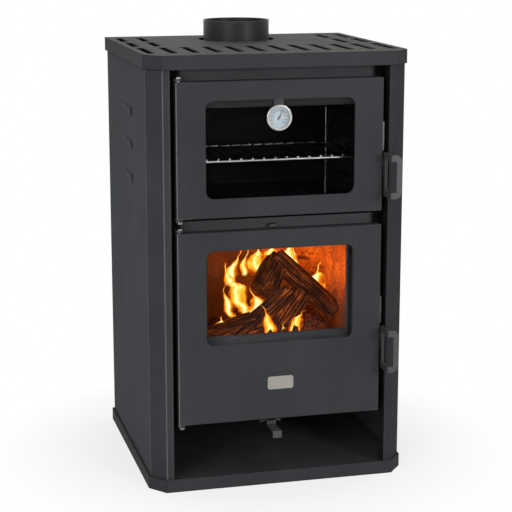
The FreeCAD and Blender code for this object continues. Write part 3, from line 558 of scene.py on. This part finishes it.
def firebrick(tree):
    """Rough fired clay with pits and soot, and a painted firelight glow that grows towards the right and
    upwards.
    """
    place = object_place(tree)
    edges = use(tree, rounded_edges_painted_highlight, Width=brick_edge, Break=0.5)
    lumps = noise(tree, place, brick_lump, detail=6.0)
    soot = noise(tree, place, brick_soot, detail=4.0)
    pits = span(tree, cells(tree, place, brick_pit), 0.0, 0.16, 1.0, 0.0)
    clay = tones(tree, lumps, (0.05, 0.018, 0.007), (0.1, 0.04, 0.016))
    sooty = mixed(tree, span(tree, soot, 0.4, 0.65, 0.0, 0.85), clay, (0.03, 0.022, 0.018, 1))
    # Painted firelight: an orange glow on the bricks, stronger to the right and higher up, weaker in soot and
    # pits.
    across = span(tree, axis_of(tree, place, 0), *firelight_reach)
    lift = span(tree, axis_of(tree, place, 2), *firelight_height)
    crack = span(tree, cells(tree, place, brick_crack, "DISTANCE_TO_EDGE"), 0.004, 0.02, 0.5, 1.0)
    mottle = times(tree, span(tree, lumps, 0.32, 0.6, 0.6, 1.0), crack)
    clean = times(tree, span(tree, soot, 0.25, 0.6, 1.0, 0.6), calc(tree, "SUBTRACT", 1.0, pits))
    heat_and_painted_firelight = times(tree, across, lift, mottle, clean)
    return {
        "Base Color": mixed(tree, times(tree, pits, 0.7), sooty, (0.06, 0.04, 0.03, 1)),
        "Roughness": roughness(tree, lumps, 0.8, 0.96),
        "Specular IOR Level": 0.1,
        "Normal": bumped(tree, calc(tree, "SUBTRACT", lumps, pits), brick_relief, edges["Normal"], 0.7),
        "Emission Color": ramp(tree, heat_and_painted_firelight, (
            (0.0, (0.03, 0.004, 0)), (0.3, (0.13, 0.016, 0.001)), (0.5, (0.56, 0.06, 0.003)),
            (0.85, (0.9, 0.13, 0.006)))),
        "Emission Strength": 1.0,
    }


def rope_seal(tree):
    """Braided glass-fibre rope: crossing strands, dark with paler worn crowns."""
    crown = axis_of(tree, put(tree, "ShaderNodeAttribute", attribute_name="braid").outputs["Vector"], 2)
    fibre = noise(tree, object_place(tree), rope_fibre, detail=3.0)
    dirt = noise(tree, object_place(tree), rope_dirt)
    painted_edges_and_worn_crowns = times(tree, crown, span(tree, fibre, 0.3, 0.7, 0.55, 1.0))
    tone = ramp(tree, painted_edges_and_worn_crowns, ((0.1, (0.012, 0.012, 0.012)), (0.85, (0.11, 0.11, 0.105))))
    return {
        "Base Color": mixed(tree, span(tree, dirt, 0.45, 0.7, 0.0, 0.6), tone, (0.03, 0.027, 0.022, 1)),
        "Roughness": span(tree, fibre, 0.2, 0.8, 0.75, 0.98),
        "Normal": bumped(tree, fibre, rope_fibre_relief),
        "Sheen Weight": 0.15,
    }


def door_glass(tree):
    """Clear heat-proof glass with faint wiped smears."""
    smears = use(tree, wiped_smears, Size=glass_smear)["Smears"]
    return {
        "Base Color": mixed(tree, times(tree, smears, 0.2), white, (0.93, 0.94, 0.94, 1)),
        "Roughness": span(tree, smears, 0.0, 1.0, 0.0, 0.012),
        "Transmission Weight": 1.0,
        "IOR": glass_bend,
        "Specular IOR Level": 0.05,
    }


def lamps_pass(tree, glass):
    """Lamps shine straight through the glass."""
    clear = put(tree, "ShaderNodeBsdfTransparent", {"Color": (0.95, 0.96, 0.96, 1)}).outputs[0]
    lamp_ray = put(tree, "ShaderNodeLightPath").outputs["Is Shadow Ray"]
    return put(tree, "ShaderNodeMixShader", {0: lamp_ray, 1: glass, 2: clear}).outputs[0]


def dial_white(tree):
    """Pale enamel of the thermometer face, slightly bluish and mottled."""
    grain = use(tree, sprayed_grain, Size=dial_grain, Cloud_Size=dial_cloud)
    return {
        "Base Color": tones(tree, grain["Clouds"], (0.28, 0.335, 0.375), (0.33, 0.385, 0.42)),
        "Roughness": roughness(tree, grain["Lumps"], 0.3, 0.45),
        "Coat Weight": 0.2,
    }


def dial_ink(tree):
    """Dark printing ink, a little uneven."""
    grain = use(tree, sprayed_grain, Size=ink_grain, Cloud_Size=ink_cloud)
    return {
        "Base Color": tones(tree, grain["Clouds"], (0.012, 0.012, 0.014), (0.03, 0.03, 0.034)),
        "Roughness": roughness(tree, grain["Lumps"], 0.4, 0.6),
    }


def needle_paint(tree):
    """Red-brown needle with a dark tip."""
    place = object_place(tree)
    edges = use(tree, rounded_edges_painted_highlight, Width=needle_edge, Break=0.2)
    out_from = vectors(tree, "DISTANCE", place, tuple(dial_middle), "Value")
    mottle = noise(tree, place, needle_mottle)
    tone = tones(tree, mottle, (0.09, 0.022, 0.012), (0.14, 0.035, 0.018))
    return {
        "Base Color": mixed(tree, span(tree, out_from, *needle_tip), tone, (0.03, 0.022, 0.02, 1)),
        "Roughness": roughness(tree, mottle, 0.35, 0.5),
        "Normal": edges["Normal"],
    }


def badge_metal(tree):
    """Bare brushed plate: fine lines from side to side."""
    edges = use(tree, rounded_edges_painted_highlight, Width=fine_edge, Break=0.1)
    lines = noise(tree, object_place(tree), badge_line, detail=3.0, stretch=(60, 1, 1))
    return {
        "Base Color": tones(tree, lines, (0.24, 0.232, 0.203), (0.39, 0.375, 0.33)),
        "Metallic": 0.4,
        "Roughness": roughness(tree, lines, 0.3, 0.45),
        "Normal": bumped(tree, lines, badge_relief, edges["Normal"], 0.4),
    }


def charred_wood(tree):
    """Burning split wood: dark fibres along each log, char cracks and glowing patches."""
    place = put(tree, "ShaderNodeAttribute", attribute_name="grain").outputs["Vector"]
    fibres = noise(tree, place, wood_fibre, detail=5.0, rough=0.6, stretch=(1, 1, 22))
    patches = noise(tree, place, wood_patch, detail=3.0, stretch=(1, 1, 2))
    cracks = span(tree, cells(tree, place, wood_crack, "DISTANCE_TO_EDGE"), 0.0, 0.07, 1.0, 0.0)
    wood = ramp(tree, fibres, (
        (0.38, (0.002, 0.001, 0.0006)), (0.5, (0.03, 0.008, 0.002)), (0.62, (0.17, 0.05, 0.011))))
    char = mixed(tree, span(tree, patches, 0.45, 0.62, 0.0, 0.85), wood, (0.006, 0.004, 0.004, 1))
    edges = use(tree, rounded_edges_painted_highlight, Width=wood_edge, Break=0.9)
    # The hot glow uses the edge mask, so it follows the painted highlight's fixed side.
    hot = times(tree, edges["Edge"], span(tree, patches, 0.3, 0.55, 1.0, 0.0))
    warm = times(tree, span(tree, fibres, 0.42, 0.66), span(tree, patches, 0.36, 0.62, 0.58, 0.14))
    height = calc(tree, "SUBTRACT", fibres, times(tree, cracks, 0.5))
    return {
        "Base Color": mixed(tree, times(tree, cracks, 0.6), char, (0.003, 0.002, 0.002, 1)),
        "Roughness": roughness(tree, fibres, 0.7, 0.95),
        "Specular IOR Level": 0.1,
        "Normal": bumped(tree, height, wood_relief, edges["Normal"]),
        "Emission Color": ramp(tree, calc(tree, "MAXIMUM", hot, warm), (
            (0.0, (0.001, 0.0001, 0)), (0.3, (0.07, 0.009, 0.001)), (0.7, (0.75, 0.17, 0.012)),
            (1.0, (1.0, 0.55, 0.12)))),
        "Emission Strength": 1.0,
    }


def glowing_embers(tree):
    """Bed of embers: grey-black lumps with red heat in the gaps."""
    place = object_place(tree)
    fine = noise(tree, place, ember_grain, detail=6.0, rough=0.7)
    sockets = {"Vector": place, "Scale": ember_swirl, "Detail": 4.0}
    swirl = put(tree, "ShaderNodeTexNoise", sockets).outputs["Color"]
    moved = vectors(tree, "ADD", place, vectors(tree, "MULTIPLY", swirl, (ember_shift,) * 3))
    gap = span(tree, cells(tree, moved, ember_gap, "DISTANCE_TO_EDGE"), 0.0, 0.16, 1.0, 0.0)
    heat_and_painted_firelight = times(tree, gap, span(tree, noise(tree, place, ember_patch), 0.38, 0.62, 0.05, 0.65))
    sparks = calc(tree, "MAXIMUM", heat_and_painted_firelight, span(tree, fine, 0.62, 0.76))
    return {
        "Base Color": ramp(tree, fine, (
            (0.35, (0.008, 0.006, 0.006)), (0.6, (0.05, 0.03, 0.02)), (0.75, (0.2, 0.17, 0.15)))),
        "Roughness": roughness(tree, fine, 0.8, 0.98),
        "Specular IOR Level": 0.1,
        "Normal": bumped(tree, calc(tree, "SUBTRACT", fine, gap), ember_relief),
        "Emission Color": ramp(tree, sparks, (
            (0.0, (0.008, 0.001, 0)), (0.4, (0.07, 0.006, 0.001)), (0.75, (0.4, 0.045, 0.003)),
            (1.0, (1.0, 0.36, 0.05)))),
        "Emission Strength": 1.0,
    }


def flame_light(tree):
    """Flames: white-yellow in the middle, orange at the torn edges, clear outside."""
    tongue = put(tree, "ShaderNodeUVMap", uv_map="tongue").outputs[0]
    across = axis_of(tree, tongue, 0)
    up = axis_of(tree, tongue, 1)
    torn = noise(tree, object_place(tree), flame_tear, detail=3.0, stretch=(0.55, 1, 2.4))
    side = times(tree, calc(tree, "ABSOLUTE", calc(tree, "SUBTRACT", across, 0.5)), 2.0)
    middle = calc(tree, "SUBTRACT", 1.0, side)
    body = calc(tree, "ADD", middle, times(tree, calc(tree, "SUBTRACT", torn, 0.5), 1.5))
    body = calc(tree, "SUBTRACT", body, span(tree, up, 0.55, 1.0, 0.0, 0.45))
    rim = times(tree, calc(tree, "MULTIPLY", middle, 6.0, clamp=True), span(tree, up, 0.0, 0.12))
    return {
        "Base Color": black,
        "Roughness": 1.0,
        "Specular IOR Level": 0.0,
        "Emission Color": ramp(tree, body, (
            (0.12, (0.6, 0.06, 0.001)), (0.45, (1.0, 0.24, 0.008)), (0.7, (1.0, 0.55, 0.05)),
            (0.95, (1.0, 0.9, 0.42)))),
        "Emission Strength": 1.35,
        "Alpha": times(tree, span(tree, body, 0.1, 0.5), rim),
    }


def room_seen(tree):
    """1 for what the eye, mirrors and glass see of the white room, 0 for its light on the object."""
    path = put(tree, "ShaderNodeLightPath").outputs
    direct = calc(tree, "SUBTRACT", 1.0, path["Diffuse Depth"], clamp=True)
    mirrored = calc(tree, "MAXIMUM", path["Is Glossy Ray"], path["Is Transmission Ray"])
    return calc(tree, "MAXIMUM", path["Is Camera Ray"], times(tree, mirrored, direct))


def pale_floor(tree):
    """Pale studio floor with a faint speckle."""
    speckle = noise(tree, object_place(tree), floor_speckle, detail=3.0)
    return {
        "Base Color": tones(tree, speckle, (0.8, 0.8, 0.8), (0.82, 0.82, 0.82)),
        "Roughness": roughness(tree, speckle, 0.85, 0.95),
        "Specular IOR Level": 0.1,
    }


def white_afar(tree, lit):
    """The floor keeps the shadow near the object and is white to the eye further away."""
    glow = put(tree, "ShaderNodeEmission", {"Color": white, "Strength": 1.0}).outputs[0]
    distance = vectors(tree, "LENGTH", object_place(tree), output="Value")
    share = times(tree, room_seen(tree), span(tree, distance, *floor_fade, floor_white, 1.0))
    return put(tree, "ShaderNodeMixShader", {0: share, 1: lit, 2: glow}).outputs[0]


# The pale edge tones here are painted highlights on the edges.
casing = dict(deep=(0.034, 0.036, 0.039), pale=(0.046, 0.048, 0.052), edge=(0.34, 0.34, 0.345),
              painted_edge_share=0.9, edge_width=paint_edge, grain_size=paint_grain, grain_depth=0.09 * mm,
              roughs=(0.7, 0.86), dust=0.1, shine=0.06, painted_edge_where=highlighted_front_sides)
# Bends painted near-black: a painted dark reflection along the bends of the top plate and skirts.
bends_painted_dark = dict(edge=(0.004, 0.004, 0.005), painted_edge_share=1.0, painted_edge_where=None)
# What differs from the casing's paint. A satin collar shows a soft stripe of light.
paints = {
    "casing_paint": {},
    "skirt_paint": bends_painted_dark,
    # Upper faces: a paler, warmer tone as painted light from above, with bends painted dark.
    "top_paint": dict(bends_painted_dark, pale=(0.054, 0.05, 0.041), roughs=(0.5, 0.6), shine=0.03),
    "side_paint": dict(deep=(0.034, 0.037, 0.041), pale=(0.046, 0.05, 0.055), painted_edge_share=0.1),
    # A darker copy of the casing paint: painted shade on the right pillar.
    "shaded_paint": dict(deep=(0.028, 0.029, 0.032), pale=(0.038, 0.039, 0.043), painted_edge_share=0.1),
    "collar_paint": dict(deep=(0.008, 0.008, 0.0085), pale=(0.012, 0.012, 0.013), roughs=(0.4, 0.5),
                         shine=0.28),
    # A paler copy of the casing paint, painted light against the shade of the recessed frame, with painted
    # shade on its sides and along the doors' edges.
    "frame_paint": dict(deep=(0.05, 0.052, 0.056), pale=(0.066, 0.068, 0.073), shade=frame_painted_shade),
    "handle_paint": dict(deep=(0.036, 0.037, 0.04), pale=(0.048, 0.049, 0.053), edge=(0.16, 0.16, 0.162),
                         painted_edge_share=0.7, edge_width=1.0 * mm, grain_size=0.6 * mm, grain_depth=0.04 * mm,
                         roughs=(0.3, 0.42), dust=0.04, shine=0.5, painted_edge_where=None),
    "black_steel": dict(deep=(0.009, 0.009, 0.0095), pale=(0.016, 0.016, 0.017), edge=(0.04, 0.039, 0.038),
                        painted_edge_share=0.55, edge_width=0.6 * mm, grain_size=0.8 * mm, grain_depth=0.06 * mm,
                        roughs=(0.5, 0.7), dust=0.16, shine=0.1, painted_edge_where=None),
}
# Dull tone, bright tone, range of roughness and width of the rounded edge
platings = {
    "rack_chrome": ((0.27, 0.275, 0.28), (0.35, 0.355, 0.36), (0.14, 0.2), wire_edge),
    "gauge_chrome": ((0.34, 0.335, 0.325), (0.52, 0.515, 0.5), (0.12, 0.22), fine_edge),
    "bracket_plating": ((0.05, 0.05, 0.055), (0.09, 0.09, 0.097), (0.08, 0.16), wire_edge),
    "keeper_plating": ((0.08, 0.08, 0.084), (0.12, 0.12, 0.125), (0.3, 0.42), fine_edge),
    "pin_steel": ((0.15, 0.15, 0.157), (0.25, 0.25, 0.257), (0.2, 0.36), fine_edge),
}
dresses = (oven_enamel, zinc_steel, grate_iron, firebrick, rope_seal, dial_white, dial_ink, needle_paint,
           badge_metal, charred_wood, glowing_embers, flame_light)
finishes = {dress.__name__: finish(dress.__name__, dress) for dress in dresses}
for name, differs in paints.items():
    finishes[name] = finish(name, sprayed_paint, **{**casing, **differs})
for name, values in platings.items():
    finishes[name] = finish(name, bright_plating, *values)
finishes["door_glass"] = finish("door_glass", door_glass, cover=lamps_pass)
finishes["pale_floor"] = finish("pale_floor", pale_floor, cover=white_afar)
# Own finishes: painted shade on the right pillar, a paler front frame with painted shadow lines, and bends
# painted dark on the top plate and base skirt.
own_finishes = {
    "top_plate": "skirt_paint",
    "base_skirt": "skirt_paint",
    "flue_collar": "collar_paint",
    "front_frame": "frame_paint",
    "left_side_panel": "side_paint",
    "right_side_panel": "side_paint",
    "right_pillar": "shaded_paint",
    "latch_keepers": "keeper_plating",
    "thermometer_bracket": "bracket_plating",
}


def dress_nodes():
    """Each piece takes the finish of its slot in the record, or its own kind of that finish."""
    for part in frame["record"]["subparts"]:
        materials = nodes[part["node"]].data.materials
        materials.clear()
        materials.append(finishes[own_finishes.get(part["node"], part["material_slot"])])


def dress_faces(node, chosen, finish_name):
    """Another finish on those faces of a piece that a test picks."""
    mesh = nodes[node].data
    mesh.materials.append(finishes[finish_name])
    for face in mesh.polygons:
        if chosen(face):
            face.material_index = len(mesh.materials) - 1


def slot_wall(face):
    """Whether a face stands inside a slot of the top plate."""
    return face.center.z > slot_wall_low and abs(face.normal.z) < 1 - flat_share


def window_edge(face):
    """Whether a face looks into the opening of the fire window."""
    inside = abs(face.center.x) < window_reach and window_low < face.center.z < window_high
    return inside and abs(face.normal.y) < 1 - flat_share


def paint_casing_light_and_shade():
    """Painted light and shade on the casing: a paler, warmer satin upper face of the top plate as painted
    light from above, and black slot walls, pillar side strips and fire-window edge faces as painted shade.
    """
    dress_faces("top_plate", lambda face: face.normal.z > flat_share, "top_paint")
    # Painted shade: black on the slot walls, the pillars' side strips and the fire window's edge faces.
    dress_faces("top_plate", slot_wall, "black_steel")
    for pillar in ("left_pillar", "right_pillar"):
        dress_faces(pillar, lambda face: abs(face.normal.x) > flat_share, "black_steel")
    dress_faces("firebox_door_panel", window_edge, "black_steel")


def new_object(name, data):
    """Object at the origin, shown in the scene."""
    shown = bpy.data.objects.new(name, data)
    bpy.context.scene.collection.objects.link(shown)
    return shown


def new_mesh(name, shape, materials, smooth=False):
    """Mesh that takes a bmesh and its finishes."""
    mesh = bpy.data.meshes.new(name)
    shape.to_mesh(mesh)
    shape.free()
    for material in materials:
        mesh.materials.append(finishes[material])
    for face in mesh.polygons:
        face.use_smooth = smooth
    return mesh


def new_piece(name, shape, materials, body, smooth=False):
    """Piece that takes a bmesh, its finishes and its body."""
    piece = new_object(name, new_mesh(name, shape, materials, smooth))
    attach(piece, body)
    return piece


def lamp(name, place, side, power):
    """Square lamp that looks at the object."""
    light = bpy.data.lights.new(name, "AREA")
    light.shape = "SQUARE"
    light.size = side
    light.energy = power
    shown = new_object(name, light)
    shown.location = place
    shown.rotation_euler = (Vector(lamp_aim) - Vector(place)).to_track_quat("-Z", "Y").to_euler()


def studio():
    """Floor, room light, lamps and camera."""
    shape = bmesh.new()
    bmesh.ops.create_grid(shape, x_segments=1, y_segments=1, size=floor_half)
    floor = new_object("floor", new_mesh("floor", shape, ["pale_floor"]))

    world = bpy.data.worlds.new("studio")
    world.use_nodes = True
    tree = world.node_tree
    tree.nodes.clear()
    strength = calc(tree, "MAXIMUM", room_seen(tree), sky_light)
    sky = put(tree, "ShaderNodeBackground", {"Color": white, "Strength": strength}).outputs[0]
    put(tree, "ShaderNodeOutputWorld", {"Surface": sky})
    bpy.context.scene.world = world

    for name, values in lamps.items():
        lamp(name, *values)

    lens = bpy.data.cameras.new("camera")
    lens.lens = camera_lens
    lens.sensor_width = sensor_width
    camera = new_object("camera", lens)
    camera.location = camera_place
    camera.rotation_euler = (radians(90 - camera_down), 0, radians(-camera_right))
    bpy.context.scene.camera = camera
    bpy.context.scene.view_settings.view_transform = "Standard"


def lumps_at(place):
    """Smooth lumps from about -1 to 1 at a place."""
    return fractal(place, lump_fade, lump_finer, lump_layers)


def log_reach(direction, faces):
    """How far a log's surface lies from its middle in a direction."""
    reaches = []
    for angle, distance in faces:
        lean = cos(direction - radians(angle))
        if lean > log_face_lean:
            reaches.append(distance / lean)
    return min(reaches)


def split_log(name, start, end, thick, turn, faces, seed):
    """Split log between two points: flat split faces and torn fibres."""
    start = Vector(start) * mm
    end = Vector(end) * mm
    thick = thick * mm
    line = end - start
    shape = bmesh.new()
    ring = bmesh.ops.create_circle(shape, cap_ends=False, radius=1.0, segments=log_sides)["verts"]
    bmesh.ops.contextual_create(shape, geom=ring)
    rims = shape.edges[:]
    for step in range(log_steps):
        grown = bmesh.ops.extrude_edge_only(shape, edges=rims)["geom"]
        corners = [part for part in grown if isinstance(part, bmesh.types.BMVert)]
        rims = [part for part in grown if isinstance(part, bmesh.types.BMEdge)
                and all(corner in corners for corner in part.verts)]
        bmesh.ops.translate(shape, verts=corners, vec=(0, 0, line.length / log_steps))
    bmesh.ops.contextual_create(shape, geom=rims)
    grain = shape.verts.layers.float_vector.new("grain")
    for corner in shape.verts:
        direction = Vector((corner.co.x, corner.co.y, 0))
        angle = Vector((1, 0)).angle_signed(direction.xy)
        fibre = Vector((direction.x, direction.y, corner.co.z / thick * log_fibre_share))
        torn = lumps_at(fibre * log_tear_fine + Vector((seed, 0, 0)))
        reach = log_reach(-angle, faces) * thick
        bend = sin(corner.co.z / line.length * pi) * log_bow * thick
        corner.co.x = direction.x * reach * (1 + log_tear * torn) + bend
        corner.co.y = direction.y * reach * (1 + log_tear * torn)
        corner.co.z += log_tear * thick * lumps_at(Vector((direction.x, direction.y, seed)) * log_end_fine)
        corner[grain] = corner.co + Vector((seed, seed, 0))
    bmesh.ops.recalc_face_normals(shape, faces=shape.faces)
    aim = line.to_track_quat("Z", "Y").to_matrix().to_4x4()
    place = Matrix.Translation(start) @ aim @ Matrix.Rotation(radians(turn), 4, "Z")
    bmesh.ops.transform(shape, matrix=place, verts=shape.verts)
    new_piece(name, shape, ["charred_wood"], "stove_body")


def ember_bed():
    """Mound of embers on the grate, higher at the right."""
    shape = bmesh.new()
    columns, rows = ember_grid
    bmesh.ops.create_grid(shape, x_segments=columns, y_segments=rows, size=0.5)
    low, high = (Vector(corner) * mm for corner in ember_box)
    shell = bmesh.ops.extrude_face_region(shape, geom=shape.faces[:])["geom"]
    crown = [part for part in shell if isinstance(part, bmesh.types.BMVert)]
    for corner in shape.verts:
        across = corner.co.x + 0.5
        deep = corner.co.y + 0.5
        corner.co = (low.x + across * (high.x - low.x), low.y + deep * (high.y - low.y), low.z)
        if corner in crown:
            rim = min(1.0, min(across, 1 - across, deep, 1 - deep) * ember_rim)
            heap = ember_left_share + (1 - ember_left_share) * across
            lumps = 1 + ember_lumps * lumps_at(corner.co / ember_lump_size)
            corner.co.z += (high.z - low.z) * rim * heap * lumps
    bmesh.ops.recalc_face_normals(shape, faces=shape.faces)
    new_piece("ember_bed", shape, ["glowing_embers"], "stove_body", smooth=True)


def flame_tongues():
    """Flames: thin curved tongues that rise from a foot over a middle to a tip."""
    shape = bmesh.new()
    shape.loops.layers.uv.new("tongue")
    columns, rows = flame_grid
    for foot, middle, tip, width in flames:
        foot, middle, tip = (Vector(point) * mm for point in (foot, middle, tip))
        width = width * mm
        before = set(shape.verts)
        bmesh.ops.create_grid(shape, x_segments=columns, y_segments=rows, size=0.5, calc_uvs=True)
        for corner in set(shape.verts) - before:
            across = corner.co.x
            up = corner.co.y + 0.5
            spine = foot.lerp(middle, up).lerp(middle.lerp(tip, up), up)
            swell = sin(pi * min(up * flame_swell + flame_foot_rise, 1.0)) ** flame_fullness
            breadth = width * (flame_tip_share + swell)
            sway = flame_sway * width * lumps_at(spine / flame_wave)
            corner.co = spine + Vector((across * breadth + sway, flame_bulge * breadth * cos(pi * across), 0))
    new_piece("flames", shape, ["flame_light"], "stove_body", smooth=True)


def rope_path(along, place, legs, radius):
    """Point and inward direction at a length along a loop with round corners, from its bottom leg on."""
    quarter = radians(90)
    for leg in range(4):
        spin = Matrix.Rotation(-quarter * leg, 3, "Y")
        ahead = spin @ Vector((1, 0, 0))
        inward = spin @ Vector((0, 0, 1))
        if along <= legs[leg % 2]:
            return place + ahead * along, inward
        along -= legs[leg % 2]
        place = place + ahead * legs[leg % 2]
        arc = quarter * radius
        if along <= arc or leg == 3:
            bend = Matrix.Rotation(-along / radius, 3, "Y")
            return place + inward * radius - bend @ (inward * radius), bend @ inward
        along -= arc
        place = place + (ahead + inward) * radius


def rope_loop(name, node, body, width):
    """Braided rope laid in a loop where a door's seal lies."""
    low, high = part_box(node)
    depth = high.y - low.y
    radius = rope_corner_share * width
    legs = (high.x - low.x - width - 2 * radius, high.z - low.z - width - 2 * radius)
    start = Vector((low.x + width / 2 + radius, (low.y + high.y) / 2, low.z + width / 2))
    whole = 2 * sum(legs) + 2 * pi * radius
    waves = round(whole / rope_pitch)
    shape = bmesh.new()
    bmesh.ops.create_grid(shape, x_segments=round(whole / rope_step), y_segments=rope_sides, size=0.5)
    braid = shape.verts.layers.float_vector.new("braid")
    for corner in shape.verts:
        share = corner.co.x + 0.5
        angle = 2 * pi * (corner.co.y + 0.5)
        middle, inward = rope_path(share * whole, start, legs, radius)
        crown = max(0.5 + 0.5 * cos(rope_strands * angle + way * 2 * pi * waves * share) for way in (1, -1))
        reach = 1 - rope_relief + rope_relief * crown
        outward = Vector((0, sin(angle) * reach * depth / 2, 0))
        corner.co = middle + inward * cos(angle) * reach * width / 2 + outward
        corner[braid] = (share * whole, angle, crown)
    bmesh.ops.remove_doubles(shape, verts=shape.verts, dist=rope_weld)
    bmesh.ops.recalc_face_normals(shape, faces=shape.faces)
    loop = new_piece(name, shape, ["rope_seal"], body, smooth=True)
    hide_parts(node)


def add_number(shape, words, place):
    """A number of the dial, as thin raised ink."""
    curve = bpy.data.curves.new("number", "FONT")
    curve.body = words
    curve.size = dial_number_size
    curve.align_x = "CENTER"
    curve.align_y = "CENTER"
    curve.extrude = ink_thickness
    curve.resolution_u = dial_number_steps
    holder = bpy.data.objects.new("number", curve)
    flat = bpy.data.meshes.new_from_object(holder)
    flat.transform(place)
    before = len(shape.faces)
    shape.from_mesh(flat)
    shape.faces.ensure_lookup_table()
    for face in shape.faces[before:]:
        face.material_index = 1
    bpy.data.objects.remove(holder)
    bpy.data.curves.remove(curve)
    bpy.data.meshes.remove(flat)


def dial_face():
    """Thermometer face: dished disc on a post, with marks and numbers."""
    radius = (dial_high.x - dial_low.x) / 2
    post = dial_high.y - dial_low.y
    shape = bmesh.new()
    bmesh.ops.create_cone(shape, cap_ends=True, segments=dial_sides, radius1=radius, radius2=radius,
                          depth=dial_thickness)
    front = [face for face in shape.faces if face.normal.z > flat_share]
    bmesh.ops.inset_region(shape, faces=front, thickness=dial_rim, depth=-dial_sink)
    level = dial_thickness / 2 - dial_sink
    bmesh.ops.create_cone(shape, cap_ends=True, segments=dial_post_sides, radius1=dial_post_radius,
                          radius2=dial_post_radius, depth=post,
                          matrix=Matrix.Translation((0, 0, (post - dial_thickness) / 2)))
    fine_marks = (dial_marks - 1) * dial_fine_parts
    for mark in range(fine_marks + 1):
        length = dial_short_tick if mark % dial_fine_parts else dial_long_tick
        turn = -radians(dial_first + (dial_last - dial_first) * mark / fine_marks)
        middle = Vector((0, radius * dial_tick_share - length / 2, level))
        size = Matrix.Diagonal((dial_tick_width, length, ink_thickness, 1))
        place = Matrix.Rotation(turn, 4, "Z") @ Matrix.Translation(middle) @ size
        made = bmesh.ops.create_cube(shape, size=1.0, matrix=place)["verts"]
        for face in {face for corner in made for face in corner.link_faces}:
            face.material_index = 1
    for number in range(dial_marks):
        turn = radians(dial_first + (dial_last - dial_first) * number / (dial_marks - 1))
        spot = Vector((sin(turn), cos(turn), 0)) * radius * dial_number_share
        add_number(shape, str(number * dial_step), Matrix.Translation(spot + Vector((0, 0, level))))
    middle = Vector((dial_middle.x, dial_high.y - dial_thickness / 2, dial_middle.z))
    upright = Matrix.Translation(middle) @ Matrix.Rotation(radians(90), 4, "X")
    bmesh.ops.transform(shape, matrix=upright, verts=shape.verts)
    face = new_piece("dial_face", shape, ["dial_white", "dial_ink"], "oven_door")
    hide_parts("thermometer_dial")


dress_nodes()
paint_casing_light_and_shade()
dial_face()
for values in ropes:
    rope_loop(*values)
for name, values in logs.items():
    split_log(name, *values)
ember_bed()
flame_tongues()
studio()
